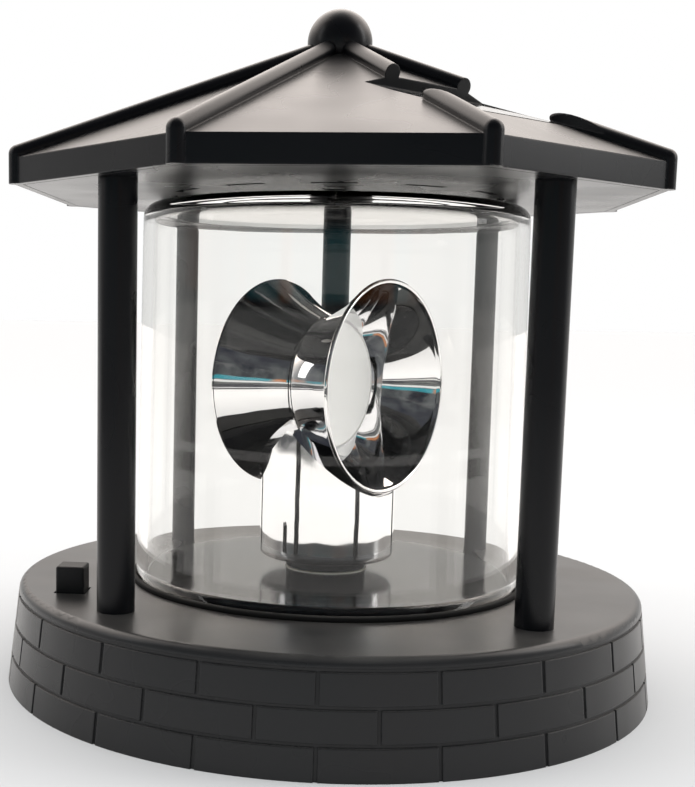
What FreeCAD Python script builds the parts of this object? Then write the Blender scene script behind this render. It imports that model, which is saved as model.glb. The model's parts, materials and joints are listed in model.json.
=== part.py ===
import FreeCAD, Part
import math
import os

# Solar lantern with a turning double-horn reflector.
# Millimetres, +Z up. The origin is the middle of the base's underside and the front looks along -Y.
# An azimuth is counted in degrees from the front (-Y) towards the right (+X).

V = FreeCAD.Vector
UP = V(0, 0, 1)

# ---- driving sizes ----------------------------------------------------------------------------
# base drum
BASE_R_TOP = 60.0
BASE_R_BOTTOM = 62.3
BASE_H = 19.1
BASE_WALL = 3.0
DECK_T = 2.0
BASE_EDGE_R = 1.5
BRICKS = 20
BRICK_ROWS = 3
BRICK_ROW_H = 5.75
BRICK_FIRST_JOINT = 5.6
GROOVE_W = 0.7
GROOVE_DEPTH = 0.35
COVER_T = 1.8
BOSS_R = 3.0
SMALL_BOSS_R = 2.4
BOSS_LAP = 0.5
TOUCH = 0.01
BASE_SCREW_R = 51.0
BASE_SCREW_AZ = (20, 110, 250, 340)

# clear cover, the plate it stands around and its gasket
GLASS_R = 37.6
GLASS_R_TOP = 36.7
GLASS_WALL = 2.0
GLASS_TOP_Z = 91.0
GLASS_SHOULDER = 2.6
GASKET_T = 0.6
GASKET_GROOVE = 0.8
DISC_T = 1.9
DISC_EDGE_R = 0.5

# posts
POST_R = 3.3
POST_RING_R = 50.5
POST_SPIGOT_R = 2.4
WIRE_BORE_R = 1.5

# roof
EAVES_Z = 92.6
FASCIA_H = 4.6
ROOF_CORNER_R = 62.2
ROOF_RISE = 23.5
ROOF_WALL = 1.6
RIB_R = 1.65
RIB_LIFT = 0.6
RIB_SINK = 0.45 * RIB_R
APEX_FLAT = 0.02
SOFFIT_T = 1.6
VENTS = 12
VENT_RING_R = 31.0
VENT_LENGTH = 8.0
VENT_W = 1.6
SOFFIT_SCREW_R = 20.0
FINIAL_R = 6.1
FINIAL_LIFT = 0.7
FINIAL_PEG_R = 2.0
FINIAL_PEG_L = 8.0

# solar panel and its seat, on the face at SEAT_AZ
SEAT_AZ = 45.0
SEAT_START = 22.0
SEAT_START_DROP = 2.2
SEAT_RUN = 19.6
SEAT_HALF_W = 15.5
SEAT_HALF_W_OUT = 17.2
PANEL_L = 18.8
PANEL_W = 29.6
PANEL_BACK_T = 1.0
PANEL_CELL_T = 0.3
PANEL_GLAZE_T = 0.8
CELLS = 4
CELL_GAP = 0.6
CELL_MARGIN = 1.0

# turning reflector
HORN_AZ = 55.4
HORN_Z = 57.2
HORN_HALF_L = 13.45
HORN_RIM_R = 20.24
HORN_NECK_R = 13.0
HORN_NECK_HALF = 1.5
HORN_SAG = 0.5
HORN_WALL = 0.9
LENS_T = 0.45
LENS_GAP = 1.0
STEM_R = 13.2
STEM_WALL = 1.2
STEM_FLOOR_T = 1.4
STEM_TOP_Z = 49.1
STEM_TOP_SLOPE = 0.97
STEM_FOOT_R = 1.3
HUB_R = 7.8
HUB_FLANGE_T = 2.1
HUB_LIFT = 0.4
SPINDLE_R = 5.55
HUB_BORE_R = 3.0
WINDOW_R = 3.4

# lamp mast
MAST_R = 2.6
MAST_BORE_R = 1.6
LED_R = 2.5
LED_H = 8.6
LED_CLEAR = 0.6

# gear train
MODULE = 0.4
PRESSURE_DEG = 25.0
ADDENDUM = 0.95
DEDENDUM = 1.3
BACKLASH = 0.07
DRIVE_TEETH = 54
WHEEL_TEETH = 48
PINION_TEETH = 12
MOTOR_TEETH = 12
DRIVE_GEAR_T = 2.8
WHEEL_T = 2.2
GEAR_PLATE_T = 1.6
AXLE_R = 1.0
SHAFT_R = 0.75
MOTOR_R = 8.0
MOTOR_H = 8.4
BUSH_WALL = 2.4
BUSH_COLLAR = 1.6
BUSH_COLLAR_LIFT = 0.8
AXLE_COLLAR = 1.0
AXLE_END_GAP = 0.6
MOTOR_COLLAR = 1.4
MOTOR_COLLAR_LIFT = 3.6
MOTOR_NOSE = 1.2
MOTOR_NOSE_L = 0.8
SHAFT_IN_CAN = 2.0
SHAFT_PROUD = 0.3
MOTOR_PINION_LAP = 0.2
GEAR_PLATE_EDGE = 3.0
GEAR_BOSS_GAP = 0.92
GEAR_BOSS_FRONT_Y = -6.0
GEAR_BOSS_BEHIND_IDLER = 7.0

# button and switch
BUTTON_W = 5.2
BUTTON_X = -46.4
BUTTON_Y = -21.7
BUTTON_PROUD = 4.9
BUTTON_TRAVEL = 1.6
BUTTON_RIM = 0.9
BUTTON_RIM_T = 1.0
BUTTON_EDGE_R = 0.4
SWITCH_W = 7.0
SWITCH_H = 4.4
SWITCH_WALL = 0.8
PLUNGER_W = 3.0
SPRING_WIRE = 0.4
SPRING_TURNS = 4

# power and control
CELL_R = 5.25
CELL_L = 44.5
CELL_TIP_R = 1.9
CELL_TIP_L = 0.9
CELL_X = 33.0
TRAY_T = 1.2
CONTACT_T = 0.4
CONTACT_SPRING_L = 3.6
CONTACT_WIRE_R = 0.3
BOARD_T = 1.2
BOARD_X = (-50.0, -23.0)
BOARD_Y = (-25.4, -2.0)
BOARD_SCREW_INSET = 3.0
CHIP_L = 5.0
CHIP_W = 4.0
CHIP_T = 1.4
CHIP_LIFT = 0.2
LEG_PITCH = 1.27
LEG_W = 0.4
LEG_T = 0.3
LEG_SPAN = 6.0
CAPACITOR_R = 2.5
CAPACITOR_H = 6.0

# screws
SCREW_R = 0.95
SCREW_HEAD_R = 2.0
SCREW_HEAD_T = 1.1
SCREW_L = 8.0
SMALL_SCREW_R = 0.75
SMALL_HEAD_R = 1.4
SMALL_HEAD_T = 0.8
SMALL_SCREW_L = 5.0
BOARD_SCREW_GRIP = 2.5
HEAD_BELOW = 0.2

# clearances
RUN_FIT = 0.05
FREE_GAP = 0.3
SEAT_GAP = 0.2
AXIAL_GAP = 0.2

# ---- places that follow from the sizes ----------------------------------------------------------
DECK_UNDER = BASE_H - DECK_T
DISC_TOP = BASE_H + DISC_T
GLASS_FOOT_Z = BASE_H - GASKET_GROOVE + GASKET_T
DISC_R = GLASS_R - GLASS_WALL - FREE_GAP
HALF_TURN_OCT = 22.5
HALF_SIDE_COS = math.cos(math.radians(HALF_TURN_OCT))
ROOF_IN_R = ROOF_CORNER_R * HALF_SIDE_COS
ROOF_FACE_R = ROOF_CORNER_R - RIB_SINK
FASCIA_TOP = EAVES_Z + FASCIA_H
APEX_Z = FASCIA_TOP + ROOF_RISE
SOFFIT_TOP = EAVES_Z + SOFFIT_T
PANEL_T = PANEL_BACK_T + PANEL_CELL_T + PANEL_GLAZE_T

HUB_Z = DISC_TOP + HUB_LIFT
STEM_Z = HUB_Z + HUB_FLANGE_T
BUSH_R = SPINDLE_R + RUN_FIT + BUSH_WALL
BUSH_TOP = HUB_Z - AXIAL_GAP

GEAR_PLATE_Z = COVER_T + 0.8
GEAR_PLATE_TOP = GEAR_PLATE_Z + GEAR_PLATE_T
WHEEL_Z = GEAR_PLATE_TOP + 0.4
DRIVE_GEAR_Z = WHEEL_Z + WHEEL_T + 0.8
DRIVE_GEAR_TOP = DRIVE_GEAR_Z + DRIVE_GEAR_T
PINION_TOP = DRIVE_GEAR_TOP + 0.5
BUSH_Z = DRIVE_GEAR_TOP + AXIAL_GAP
IDLER_Y = MODULE * (DRIVE_TEETH + PINION_TEETH) / 2
MOTOR_Y = IDLER_Y + MODULE * (WHEEL_TEETH + MOTOR_TEETH) / 2
MOTOR_TOP = DECK_UNDER - FREE_GAP
MOTOR_Z = MOTOR_TOP - MOTOR_H
GEAR_BOSS_X = MODULE * (DRIVE_TEETH / 2 + ADDENDUM) + SMALL_BOSS_R + GEAR_BOSS_GAP
GEAR_BOSS_Y = (GEAR_BOSS_FRONT_Y, IDLER_Y + GEAR_BOSS_BEHIND_IDLER)

LED_TOP = HORN_Z - (HORN_NECK_R - HORN_WALL) - LED_CLEAR
LED_Z = LED_TOP - LED_H

BUTTON_TOP = BASE_H + BUTTON_PROUD
BUTTON_RIM_TOP = DECK_UNDER - FREE_GAP
BUTTON_RIM_Z = BUTTON_RIM_TOP - BUTTON_RIM_T
SWITCH_TOP = BUTTON_RIM_Z - BUTTON_TRAVEL - FREE_GAP
SWITCH_Z = SWITCH_TOP - SWITCH_H
BOARD_Z = SWITCH_Z - BOARD_T
TRAY_Z = COVER_T
CELL_Z = TRAY_Z + TRAY_T + CELL_R + SEAT_GAP
CHAMBER_L = CELL_L + CONTACT_SPRING_L + 2 * CONTACT_T

POST_AZ = {
    "post_front_right": 45,
    "post_front_left": -45,
    "post_rear_right": 135,
    "post_rear_left": -135,
}
WIRE_POST_AZ = 180


# ---- helpers ------------------------------------------------------------------------------------
def at(radius, azimuth, z=0.0):
    """The point at a radius from the middle, at an azimuth from the front towards the right."""
    a = math.radians(azimuth)
    return V(radius * math.sin(a), -radius * math.cos(a), z)


def rod(radius, z0, z1, x=0.0, y=0.0):
    """A round bar standing on z0 and ending at z1."""
    return Part.makeCylinder(radius, z1 - z0, V(x, y, z0), UP)


def rod_at(radius, z0, z1, point):
    """A round bar whose place in plan is that of a point."""
    return rod(radius, z0, z1, point.x, point.y)


def block(x0, x1, y0, y1, z0, z1):
    """A rectangular block between two corners."""
    return Part.makeBox(x1 - x0, y1 - y0, z1 - z0, V(x0, y0, z0))


def square_bar(width, z0, z1, x, y):
    """A square bar standing at x, y."""
    h = width / 2
    return block(x - h, x + h, y - h, y + h, z0, z1)


def join(shapes):
    """One solid made of touching or overlapping shapes."""
    first = shapes[0]
    whole = first.fuse(shapes[1:]) if len(shapes) > 1 else first
    return whole.removeSplitter()


def prism(points, direction):
    """A flat outline pushed along a direction."""
    wire = Part.makePolygon(points + [points[0]])
    return Part.Face(wire).extrude(direction)


def octagon(corner_r, z):
    """The corners of the roof's outline, which has a flat side to the front."""
    return [at(corner_r, HALF_TURN_OCT + 45 * k, z) for k in range(8)]


def octagon_wire(corner_r, z):
    points = octagon(corner_r, z)
    return Part.makePolygon(points + [points[0]])


def revolved(profile, axis_point=V(0, 0, 0), axis=UP):
    """A closed outline of points turned once round an axis."""
    wire = Part.makePolygon(profile + [profile[0]])
    return Part.Face(wire).revolve(axis_point, axis, 360)


def screw(head_r, head_t, shank_r, length, point, up=True):
    """A pan-head screw whose head's inner face is at the point. up: the shank points up."""
    s = 1 if up else -1
    head = Part.makeCylinder(head_r, head_t, point, V(0, 0, -s))
    shank = Part.makeCylinder(shank_r, length, point, V(0, 0, s))
    slot = Part.makeBox(2 * head_r, head_r * 0.3, head_t * 0.5)
    low = point.z - s * head_t - (0 if up else head_t * 0.5)
    slot.translate(V(point.x - head_r, point.y - head_r * 0.15, low))
    return join([head, shank]).cut(slot)


def edges_at(shape, z, wider_than):
    """The level edges of a shape at a height that are wider than a given width."""
    level = [e for e in shape.Edges if e.BoundBox.ZLength < TOUCH and abs(e.BoundBox.ZMin - z) < TOUCH]
    return [e for e in level if e.BoundBox.XLength > wider_than]


def save(shape, name):
    shape.exportStep("parts/" + name + ".step")


# ---- base -----------------------------------------------------------------------------------------
def base_radius(z):
    """The drum's outside radius at a height, for its straight sloping side."""
    return BASE_R_BOTTOM + (BASE_R_TOP - BASE_R_BOTTOM) * z / BASE_H


def brick_grooves():
    """The mortar lines: a ring above each row and short uprights, every other row offset."""
    tools = []
    for row in range(BRICK_ROWS):
        z_joint = BRICK_FIRST_JOINT + BRICK_ROW_H * row
        r = base_radius(z_joint)
        half = GROOVE_W / 2
        ring = [
            V(r - GROOVE_DEPTH, 0, z_joint - half),
            V(r + 1, 0, z_joint - half),
            V(r + 1, 0, z_joint + half),
            V(r - GROOVE_DEPTH, 0, z_joint + half),
        ]
        tools.append(revolved(ring))
        z0 = z_joint - BRICK_ROW_H if row else -1.0
        offset = 0.5 if row % 2 else 0.0
        lean = math.degrees(math.atan2(BASE_R_BOTTOM - BASE_R_TOP, BASE_H))
        for k in range(BRICKS):
            upright = Part.makeBox(1 + GROOVE_DEPTH, GROOVE_W, z_joint - z0)
            upright.translate(V(base_radius(z0) - GROOVE_DEPTH, -half, z0))
            upright.rotate(V(base_radius(z0), 0, z0), V(0, 1, 0), -lean)
            upright.rotate(V(0, 0, 0), UP, -90 + 360 / BRICKS * (k + offset))
            tools.append(upright)
    return tools


def make_base_drum():
    outer = Part.makeCone(BASE_R_BOTTOM, BASE_R_TOP, BASE_H)
    top_edge = edges_at(outer, BASE_H, BASE_R_TOP)
    outer = outer.makeFillet(BASE_EDGE_R, top_edge)
    hollow = rod(BASE_R_TOP - BASE_WALL, -1, DECK_UNDER)
    drum = outer.cut(hollow)

    bosses = [rod_at(BOSS_R, COVER_T, DECK_UNDER + BOSS_LAP, at(BASE_SCREW_R, a)) for a in BASE_SCREW_AZ]
    for x in (-GEAR_BOSS_X, GEAR_BOSS_X):
        for y in GEAR_BOSS_Y:
            bosses.append(rod(SMALL_BOSS_R, GEAR_PLATE_TOP, DECK_UNDER + BOSS_LAP, x, y))
    bosses.append(rod(BUSH_R + BUSH_COLLAR, BUSH_Z + BUSH_COLLAR_LIFT, DECK_UNDER + BOSS_LAP))
    bosses.append(rod(AXLE_R + AXLE_COLLAR, PINION_TOP + AXLE_COLLAR, DECK_UNDER + BOSS_LAP, 0, IDLER_Y))
    bosses.append(rod(MOTOR_R + MOTOR_COLLAR, MOTOR_Z + MOTOR_COLLAR_LIFT, DECK_UNDER + BOSS_LAP, 0, MOTOR_Y))
    drum = join([drum] + bosses)

    cuts = brick_grooves()
    cuts.append(rod(BUSH_R, -1, BASE_H + 1))
    cuts.append(rod(AXLE_R, PINION_TOP, DECK_UNDER - AXLE_END_GAP, 0, IDLER_Y))
    cuts.append(rod(MOTOR_R + RUN_FIT, MOTOR_Z, MOTOR_TOP, 0, MOTOR_Y))
    groove_z = BASE_H - GASKET_GROOVE
    groove = rod(GLASS_R + FREE_GAP, groove_z, BASE_H + 1)
    cuts.append(groove.cut(rod(GLASS_R - GLASS_WALL - SEAT_GAP, groove_z - 1, BASE_H + 2)))
    for a in BASE_SCREW_AZ:
        cuts.append(rod_at(SCREW_R, 0, COVER_T + SCREW_L, at(BASE_SCREW_R, a)))
    for x in (-GEAR_BOSS_X, GEAR_BOSS_X):
        for y in GEAR_BOSS_Y:
            cuts.append(rod(SMALL_SCREW_R, 0, GEAR_PLATE_TOP + SMALL_SCREW_L, x, y))
    for azimuth in list(POST_AZ.values()) + [WIRE_POST_AZ]:
        cuts.append(rod_at(POST_SPIGOT_R, 0, BASE_H + 1, at(POST_RING_R, azimuth)))
    hole = BUTTON_W + 2 * FREE_GAP
    cuts.append(square_bar(hole, DECK_UNDER - 1, BASE_H + 1, BUTTON_X, BUTTON_Y))
    return drum.cut(cuts)


def make_bottom_cover():
    cover = rod(BASE_R_TOP - BASE_WALL - SEAT_GAP, 0, COVER_T)
    cuts = []
    for a in BASE_SCREW_AZ:
        p = at(BASE_SCREW_R, a)
        cuts.append(rod_at(SCREW_R, -1, COVER_T + 1, p))
        cuts.append(rod_at(SCREW_HEAD_R + SEAT_GAP, -1, SCREW_HEAD_T, p))
    return cover.cut(cuts)


def make_bottom_screws():
    points = [at(BASE_SCREW_R, a, SCREW_HEAD_T) for a in BASE_SCREW_AZ]
    return Part.makeCompound(
        [screw(SCREW_HEAD_R, SCREW_HEAD_T - HEAD_BELOW, SCREW_R, SCREW_L, p) for p in points])


def make_deck_plate():
    disc = rod(DISC_R, BASE_H, DISC_TOP)
    disc = disc.makeFillet(DISC_EDGE_R, edges_at(disc, DISC_TOP, DISC_R))
    return disc.cut(rod(BUSH_R, BASE_H - 1, DISC_TOP + 1))


def make_cover_gasket():
    z = BASE_H - GASKET_GROOVE
    ring = rod(GLASS_R + FREE_GAP, z, z + GASKET_T)
    return ring.cut(rod(GLASS_R - GLASS_WALL - SEAT_GAP, z - 1, z + GASKET_T + 1))


def cup(radius_foot, radius_top, z_top, shoulder):
    """A solid inverted cup with a rounded shoulder, from the glass's foot up."""
    body = Part.makeCone(radius_foot, radius_top, z_top - GLASS_FOOT_Z, V(0, 0, GLASS_FOOT_Z), UP)
    return body.makeFillet(shoulder, edges_at(body, z_top, radius_top))


def make_clear_cover():
    outer = cup(GLASS_R, GLASS_R_TOP, GLASS_TOP_Z, GLASS_SHOULDER)
    inner_top = GLASS_TOP_Z - GLASS_WALL
    inner = cup(GLASS_R - GLASS_WALL, GLASS_R_TOP - GLASS_WALL, inner_top, GLASS_SHOULDER - GLASS_WALL / 2)
    return outer.cut(inner)


# ---- posts ----------------------------------------------------------------------------------------
def post(azimuth, bore_r, bore_depth):
    """A post with a spigot at each end; the bore goes in from both ends."""
    p = at(POST_RING_R, azimuth)
    low = DECK_UNDER
    high = SOFFIT_TOP
    bar = join([rod_at(POST_R, BASE_H, EAVES_Z, p), rod_at(POST_SPIGOT_R, low, high, p)])
    ends = [
        rod_at(bore_r, low - 1, low + bore_depth, p),
        rod_at(bore_r, high - bore_depth, high + 1, p),
    ]
    return bar.cut(ends)


def make_post_foot_screws():
    points = [at(POST_RING_R, a, DECK_UNDER) for a in POST_AZ.values()]
    return Part.makeCompound(
        [screw(SCREW_HEAD_R + 1, SCREW_HEAD_T, SCREW_R, SCREW_L, p) for p in points])


def make_post_head_screws():
    points = [at(POST_RING_R, a, SOFFIT_TOP) for a in POST_AZ.values()]
    return Part.makeCompound(
        [screw(SCREW_HEAD_R + 1, SCREW_HEAD_T, SCREW_R, SCREW_L, p, up=False) for p in points])


# ---- roof -----------------------------------------------------------------------------------------
def roof_slope():
    """The fall of a roof face, as height over distance from the middle."""
    return ROOF_RISE / ROOF_IN_R


def pyramid(corner_r, z_foot, z_apex):
    """An eight-sided pyramid, blunt where the finial covers it."""
    z_top = z_apex - (z_apex - z_foot) * APEX_FLAT
    outlines = [octagon_wire(corner_r, z_foot), octagon_wire(corner_r * APEX_FLAT, z_top)]
    return Part.makeLoft(outlines, True, True)


def roof_body(corner_r, z_foot, z_eave, z_apex):
    """The fascia's prism and the pyramid on it, as one solid."""
    drum = prism(octagon(corner_r, z_foot), V(0, 0, z_eave - z_foot))
    return join([drum, pyramid(corner_r, z_eave, z_apex)])


def ridge_ribs():
    """The half-round ribs on the ridges, each with a round end and a bead down the corner."""
    ribs = []
    top = V(0, 0, APEX_Z + RIB_LIFT)
    bead_r = ROOF_CORNER_R - RIB_R
    for k in range(8):
        azimuth = HALF_TURN_OCT + 45 * k
        foot = at(bead_r, azimuth, FASCIA_TOP + RIB_LIFT)
        line = foot - top
        ribs.append(Part.makeCylinder(RIB_R, line.Length, top, line))
        ribs.append(Part.makeSphere(RIB_R, foot))
        ribs.append(rod_at(RIB_R, EAVES_Z, foot.z, foot))
    return ribs


def seat_frame():
    """The panel's own axes: out along the slope, across, and up from its face."""
    out = at(1, SEAT_AZ)
    across = at(1, SEAT_AZ + 90)
    start_z = APEX_Z - roof_slope() * SEAT_START - SEAT_START_DROP
    end_d = SEAT_START + SEAT_RUN
    end_z = APEX_Z - roof_slope() * end_d
    fall = V(out.x * SEAT_RUN, out.y * SEAT_RUN, end_z - start_z)
    fall.normalize()
    normal = fall.cross(across)
    corner = V(out.x * SEAT_START, out.y * SEAT_START, start_z)
    return corner, fall, across, normal


def seat_block(along0, along1, half0, half1, up0, up1):
    """A block in the panel's axes; its half width goes from half0 to half1 along the slope."""
    corner, fall, across, normal = seat_frame()
    points = []
    for along, half in ((along0, -half0), (along1, -half1), (along1, half1), (along0, half0)):
        points.append(corner + fall * along + across * half + normal * up0)
    return prism(points, normal * (up1 - up0))


def make_roof_shell():
    outer = join([roof_body(ROOF_FACE_R, EAVES_Z, FASCIA_TOP, APEX_Z)] + ridge_ribs())
    inner_r = ROOF_FACE_R - ROOF_WALL / HALF_SIDE_COS
    inner_apex = APEX_Z - ROOF_WALL * 1.6
    inner = roof_body(inner_r, EAVES_Z - 1, FASCIA_TOP - ROOF_WALL * 0.6, inner_apex)
    floor = seat_block(-ROOF_WALL, SEAT_RUN + ROOF_WALL, SEAT_HALF_W, SEAT_HALF_W_OUT,
                       -PANEL_T - SEAT_GAP - ROOF_WALL, 1.0)
    wall_top = seat_block(-ROOF_WALL, 0, SEAT_HALF_W, SEAT_HALF_W, 0.0, 6.0)
    inner = inner.cut([floor, wall_top])
    shell = outer.cut(inner)

    posts = []
    for k in range(4):
        p = at(SOFFIT_SCREW_R, 90 * k)
        boss = rod_at(BOSS_R, SOFFIT_TOP, APEX_Z, p)
        posts.append(boss.common(outer))
    shell = join([shell] + posts)

    far = 3 * SEAT_RUN
    widen = (SEAT_HALF_W_OUT - SEAT_HALF_W) / SEAT_RUN
    above = seat_block(0, far, SEAT_HALF_W, SEAT_HALF_W + widen * far, 0, 40)
    half_pocket = PANEL_W / 2 + SEAT_GAP
    pocket = seat_block(SEAT_GAP, PANEL_L + 3 * SEAT_GAP, half_pocket, half_pocket, -PANEL_T, 1)
    cuts = [above, pocket]
    cuts.append(Part.makeSphere(FINIAL_R, V(0, 0, APEX_Z + FINIAL_LIFT)))
    cuts.append(rod(FINIAL_PEG_R, APEX_Z - FINIAL_R - FINIAL_PEG_L, APEX_Z))
    for k in range(4):
        cuts.append(rod_at(SCREW_R, EAVES_Z, SOFFIT_TOP + SCREW_L, at(SOFFIT_SCREW_R, 90 * k)))
    return shell.cut(cuts)


def make_finial():
    ball = Part.makeSphere(FINIAL_R, V(0, 0, APEX_Z + FINIAL_LIFT))
    peg = rod(FINIAL_PEG_R, APEX_Z - FINIAL_R - FINIAL_PEG_L, APEX_Z)
    return join([ball, peg])


def panel_plate(up0, up1, inset):
    """A plate of the solar panel, drawn in from the panel's edges by an inset."""
    along0 = 2 * SEAT_GAP + inset
    along1 = 2 * SEAT_GAP + PANEL_L - inset
    half = PANEL_W / 2 - inset
    return seat_block(along0, along1, half, half, up0, up1)


def make_solar_backing():
    return panel_plate(-PANEL_T, -PANEL_T + PANEL_BACK_T, 0)


def make_solar_cells():
    corner, fall, across, normal = seat_frame()
    up = -PANEL_T + PANEL_BACK_T
    margin = CELL_MARGIN
    pitch = (PANEL_W - 2 * margin) / CELLS
    strips = []
    for k in range(CELLS):
        a0 = -PANEL_W / 2 + margin + pitch * k + CELL_GAP / 2
        a1 = a0 + pitch - CELL_GAP
        s0 = 2 * SEAT_GAP + margin
        s1 = 2 * SEAT_GAP + PANEL_L - margin
        corners = ((s0, a0), (s1, a0), (s1, a1), (s0, a1))
        points = [corner + fall * s + across * a + normal * up for s, a in corners]
        strips.append(prism(points, normal * PANEL_CELL_T))
    return Part.makeCompound(strips)


def make_solar_glaze():
    sheet = panel_plate(-PANEL_T + PANEL_BACK_T, 0, 0)
    return sheet.cut(make_solar_cells())


def arc_slot(ring_r, azimuth, length, width, z0, z1):
    """A slot that follows a ring round the middle."""
    turn = math.degrees(length / ring_r)
    band = rod(ring_r + width / 2, z0, z1).cut(rod(ring_r - width / 2, z0, z1))
    far = ring_r * 2
    a0 = azimuth - turn / 2
    a1 = azimuth + turn / 2
    wedge = prism([V(0, 0, z0), at(far, a0, z0), at(far, a1, z0)], V(0, 0, z1 - z0))
    return band.common(wedge)


def make_soffit_plate():
    corner_r = ROOF_FACE_R - (ROOF_WALL + SEAT_GAP) / HALF_SIDE_COS
    plate = prism(octagon(corner_r, EAVES_Z), V(0, 0, SOFFIT_T))
    cuts = []
    for k in range(VENTS):
        azimuth = 360 / VENTS * k
        cuts.append(arc_slot(VENT_RING_R, azimuth, VENT_LENGTH, VENT_W, EAVES_Z - 1, SOFFIT_TOP + 1))
    for azimuth in list(POST_AZ.values()) + [WIRE_POST_AZ]:
        cuts.append(rod_at(POST_SPIGOT_R, EAVES_Z - 1, SOFFIT_TOP + 1, at(POST_RING_R, azimuth)))
    for k in range(4):
        p = at(SOFFIT_SCREW_R, 90 * k)
        cuts.append(rod_at(SCREW_R, EAVES_Z - 1, SOFFIT_TOP + 1, p))
        cuts.append(rod_at(SCREW_HEAD_R + SEAT_GAP, EAVES_Z - 1, EAVES_Z + SCREW_HEAD_T, p))
    return plate.cut(cuts)


def make_soffit_screws():
    points = [at(SOFFIT_SCREW_R, 90 * k, EAVES_Z + SCREW_HEAD_T) for k in range(4)]
    return Part.makeCompound(
        [screw(SCREW_HEAD_R, SCREW_HEAD_T - HEAD_BELOW, SCREW_R, SCREW_L - SOFFIT_T, p) for p in points])


# ---- gears ----------------------------------------------------------------------------------------
def gear_outline(teeth, phase_deg, z):
    """Points round a spur gear with involute flanks; a tooth is centred on the phase angle."""
    pitch_r = MODULE * teeth / 2
    tip_r = pitch_r + ADDENDUM * MODULE
    root_r = pitch_r - DEDENDUM * MODULE
    pressure = math.radians(PRESSURE_DEG)
    base_r = pitch_r * math.cos(pressure)
    start_r = max(base_r, root_r)
    half = math.pi / (2 * teeth) - BACKLASH / (2 * pitch_r)
    widest = half + math.tan(pressure) - pressure
    steps = 4
    flank = []
    for i in range(steps + 1):
        r = start_r + (tip_r - start_r) * i / steps
        alpha = math.acos(min(1.0, base_r / r))
        flank.append((r, widest - (math.tan(alpha) - alpha)))
    if root_r < base_r:
        flank.insert(0, (root_r, flank[0][1]))
    points = []
    for k in range(teeth):
        middle = math.radians(phase_deg) + 2 * math.pi * k / teeth
        for r, w in flank:
            points.append(V(r * math.cos(middle - w), r * math.sin(middle - w), z))
        for r, w in reversed(flank):
            points.append(V(r * math.cos(middle + w), r * math.sin(middle + w), z))
    return points


def gear(teeth, z0, z1, y, phase_deg):
    """A toothed disc on an upright axis at x 0."""
    disc = prism(gear_outline(teeth, phase_deg, z0), V(0, 0, z1 - z0))
    disc.translate(V(0, y, 0))
    return disc


# The gears' axes lie in one row towards the back, so each meets the next along +Y (90 degrees).
# The gear behind has a gap where the one before it has a tooth.
def make_drive_gear():
    disc = gear(DRIVE_TEETH, DRIVE_GEAR_Z, DRIVE_GEAR_TOP, 0, 90)
    return disc.cut(rod(SPINDLE_R, DRIVE_GEAR_Z - 1, DRIVE_GEAR_TOP + 1))


def make_idler_gear():
    wheel = gear(WHEEL_TEETH, WHEEL_Z, WHEEL_Z + WHEEL_T, IDLER_Y, 90)
    pinion = gear(PINION_TEETH, WHEEL_Z + WHEEL_T, PINION_TOP, IDLER_Y, 270 + 180 / PINION_TEETH)
    whole = join([wheel, pinion])
    return whole.cut(rod(AXLE_R + RUN_FIT, WHEEL_Z - 1, PINION_TOP + 1, 0, IDLER_Y))


def make_motor_pinion():
    z0 = WHEEL_Z - MOTOR_PINION_LAP
    z1 = WHEEL_Z + WHEEL_T + MOTOR_PINION_LAP
    pinion = gear(MOTOR_TEETH, z0, z1, MOTOR_Y, 270 + 180 / MOTOR_TEETH)
    return pinion.cut(rod(SHAFT_R, WHEEL_Z - 1, WHEEL_Z + WHEEL_T + 1, 0, MOTOR_Y))


def make_motor_shaft():
    return rod(SHAFT_R, WHEEL_Z - SHAFT_PROUD, MOTOR_Z + SHAFT_IN_CAN, 0, MOTOR_Y)


def make_motor_can():
    can = rod(MOTOR_R, MOTOR_Z, MOTOR_TOP, 0, MOTOR_Y)
    boss = rod(SHAFT_R + MOTOR_NOSE, MOTOR_Z - MOTOR_NOSE_L, MOTOR_Z, 0, MOTOR_Y)
    bore = rod(SHAFT_R + RUN_FIT, MOTOR_Z - 1, MOTOR_Z + SHAFT_IN_CAN + FREE_GAP, 0, MOTOR_Y)
    return join([can, boss]).cut(bore)


def make_gear_axle():
    return rod(AXLE_R, GEAR_PLATE_Z, DECK_UNDER - AXLE_END_GAP, 0, IDLER_Y)


def make_gear_plate():
    edge = GEAR_PLATE_EDGE
    plate = block(-GEAR_BOSS_X - edge, GEAR_BOSS_X + edge, GEAR_BOSS_Y[0] - edge, GEAR_BOSS_Y[1] + edge,
                  GEAR_PLATE_Z, GEAR_PLATE_TOP)
    uprights = [e for e in plate.Edges if e.BoundBox.ZLength > GEAR_PLATE_T / 2]
    plate = plate.makeFillet(edge * 0.8, uprights)
    cuts = [rod(MAST_R, 0, GEAR_PLATE_TOP + 1), rod(AXLE_R, 0, GEAR_PLATE_TOP + 1, 0, IDLER_Y)]
    for x in (-GEAR_BOSS_X, GEAR_BOSS_X):
        for y in GEAR_BOSS_Y:
            cuts.append(rod(SMALL_SCREW_R, 0, GEAR_PLATE_TOP + 1, x, y))
            cuts.append(rod(SMALL_HEAD_R + SEAT_GAP, 0, GEAR_PLATE_Z + SMALL_HEAD_T, x, y))
    return plate.cut(cuts)


def make_gear_plate_screws():
    screws = []
    for x in (-GEAR_BOSS_X, GEAR_BOSS_X):
        for y in GEAR_BOSS_Y:
            p = V(x, y, GEAR_PLATE_Z + SMALL_HEAD_T)
            screws.append(screw(SMALL_HEAD_R, SMALL_HEAD_T, SMALL_SCREW_R, SMALL_SCREW_L, p))
    return Part.makeCompound(screws)


# ---- lamp mast --------------------------------------------------------------------------------------
def make_led_mast():
    return rod(MAST_R, GEAR_PLATE_Z, LED_Z).cut(rod(MAST_BORE_R, 0, LED_Z + 1))


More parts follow.
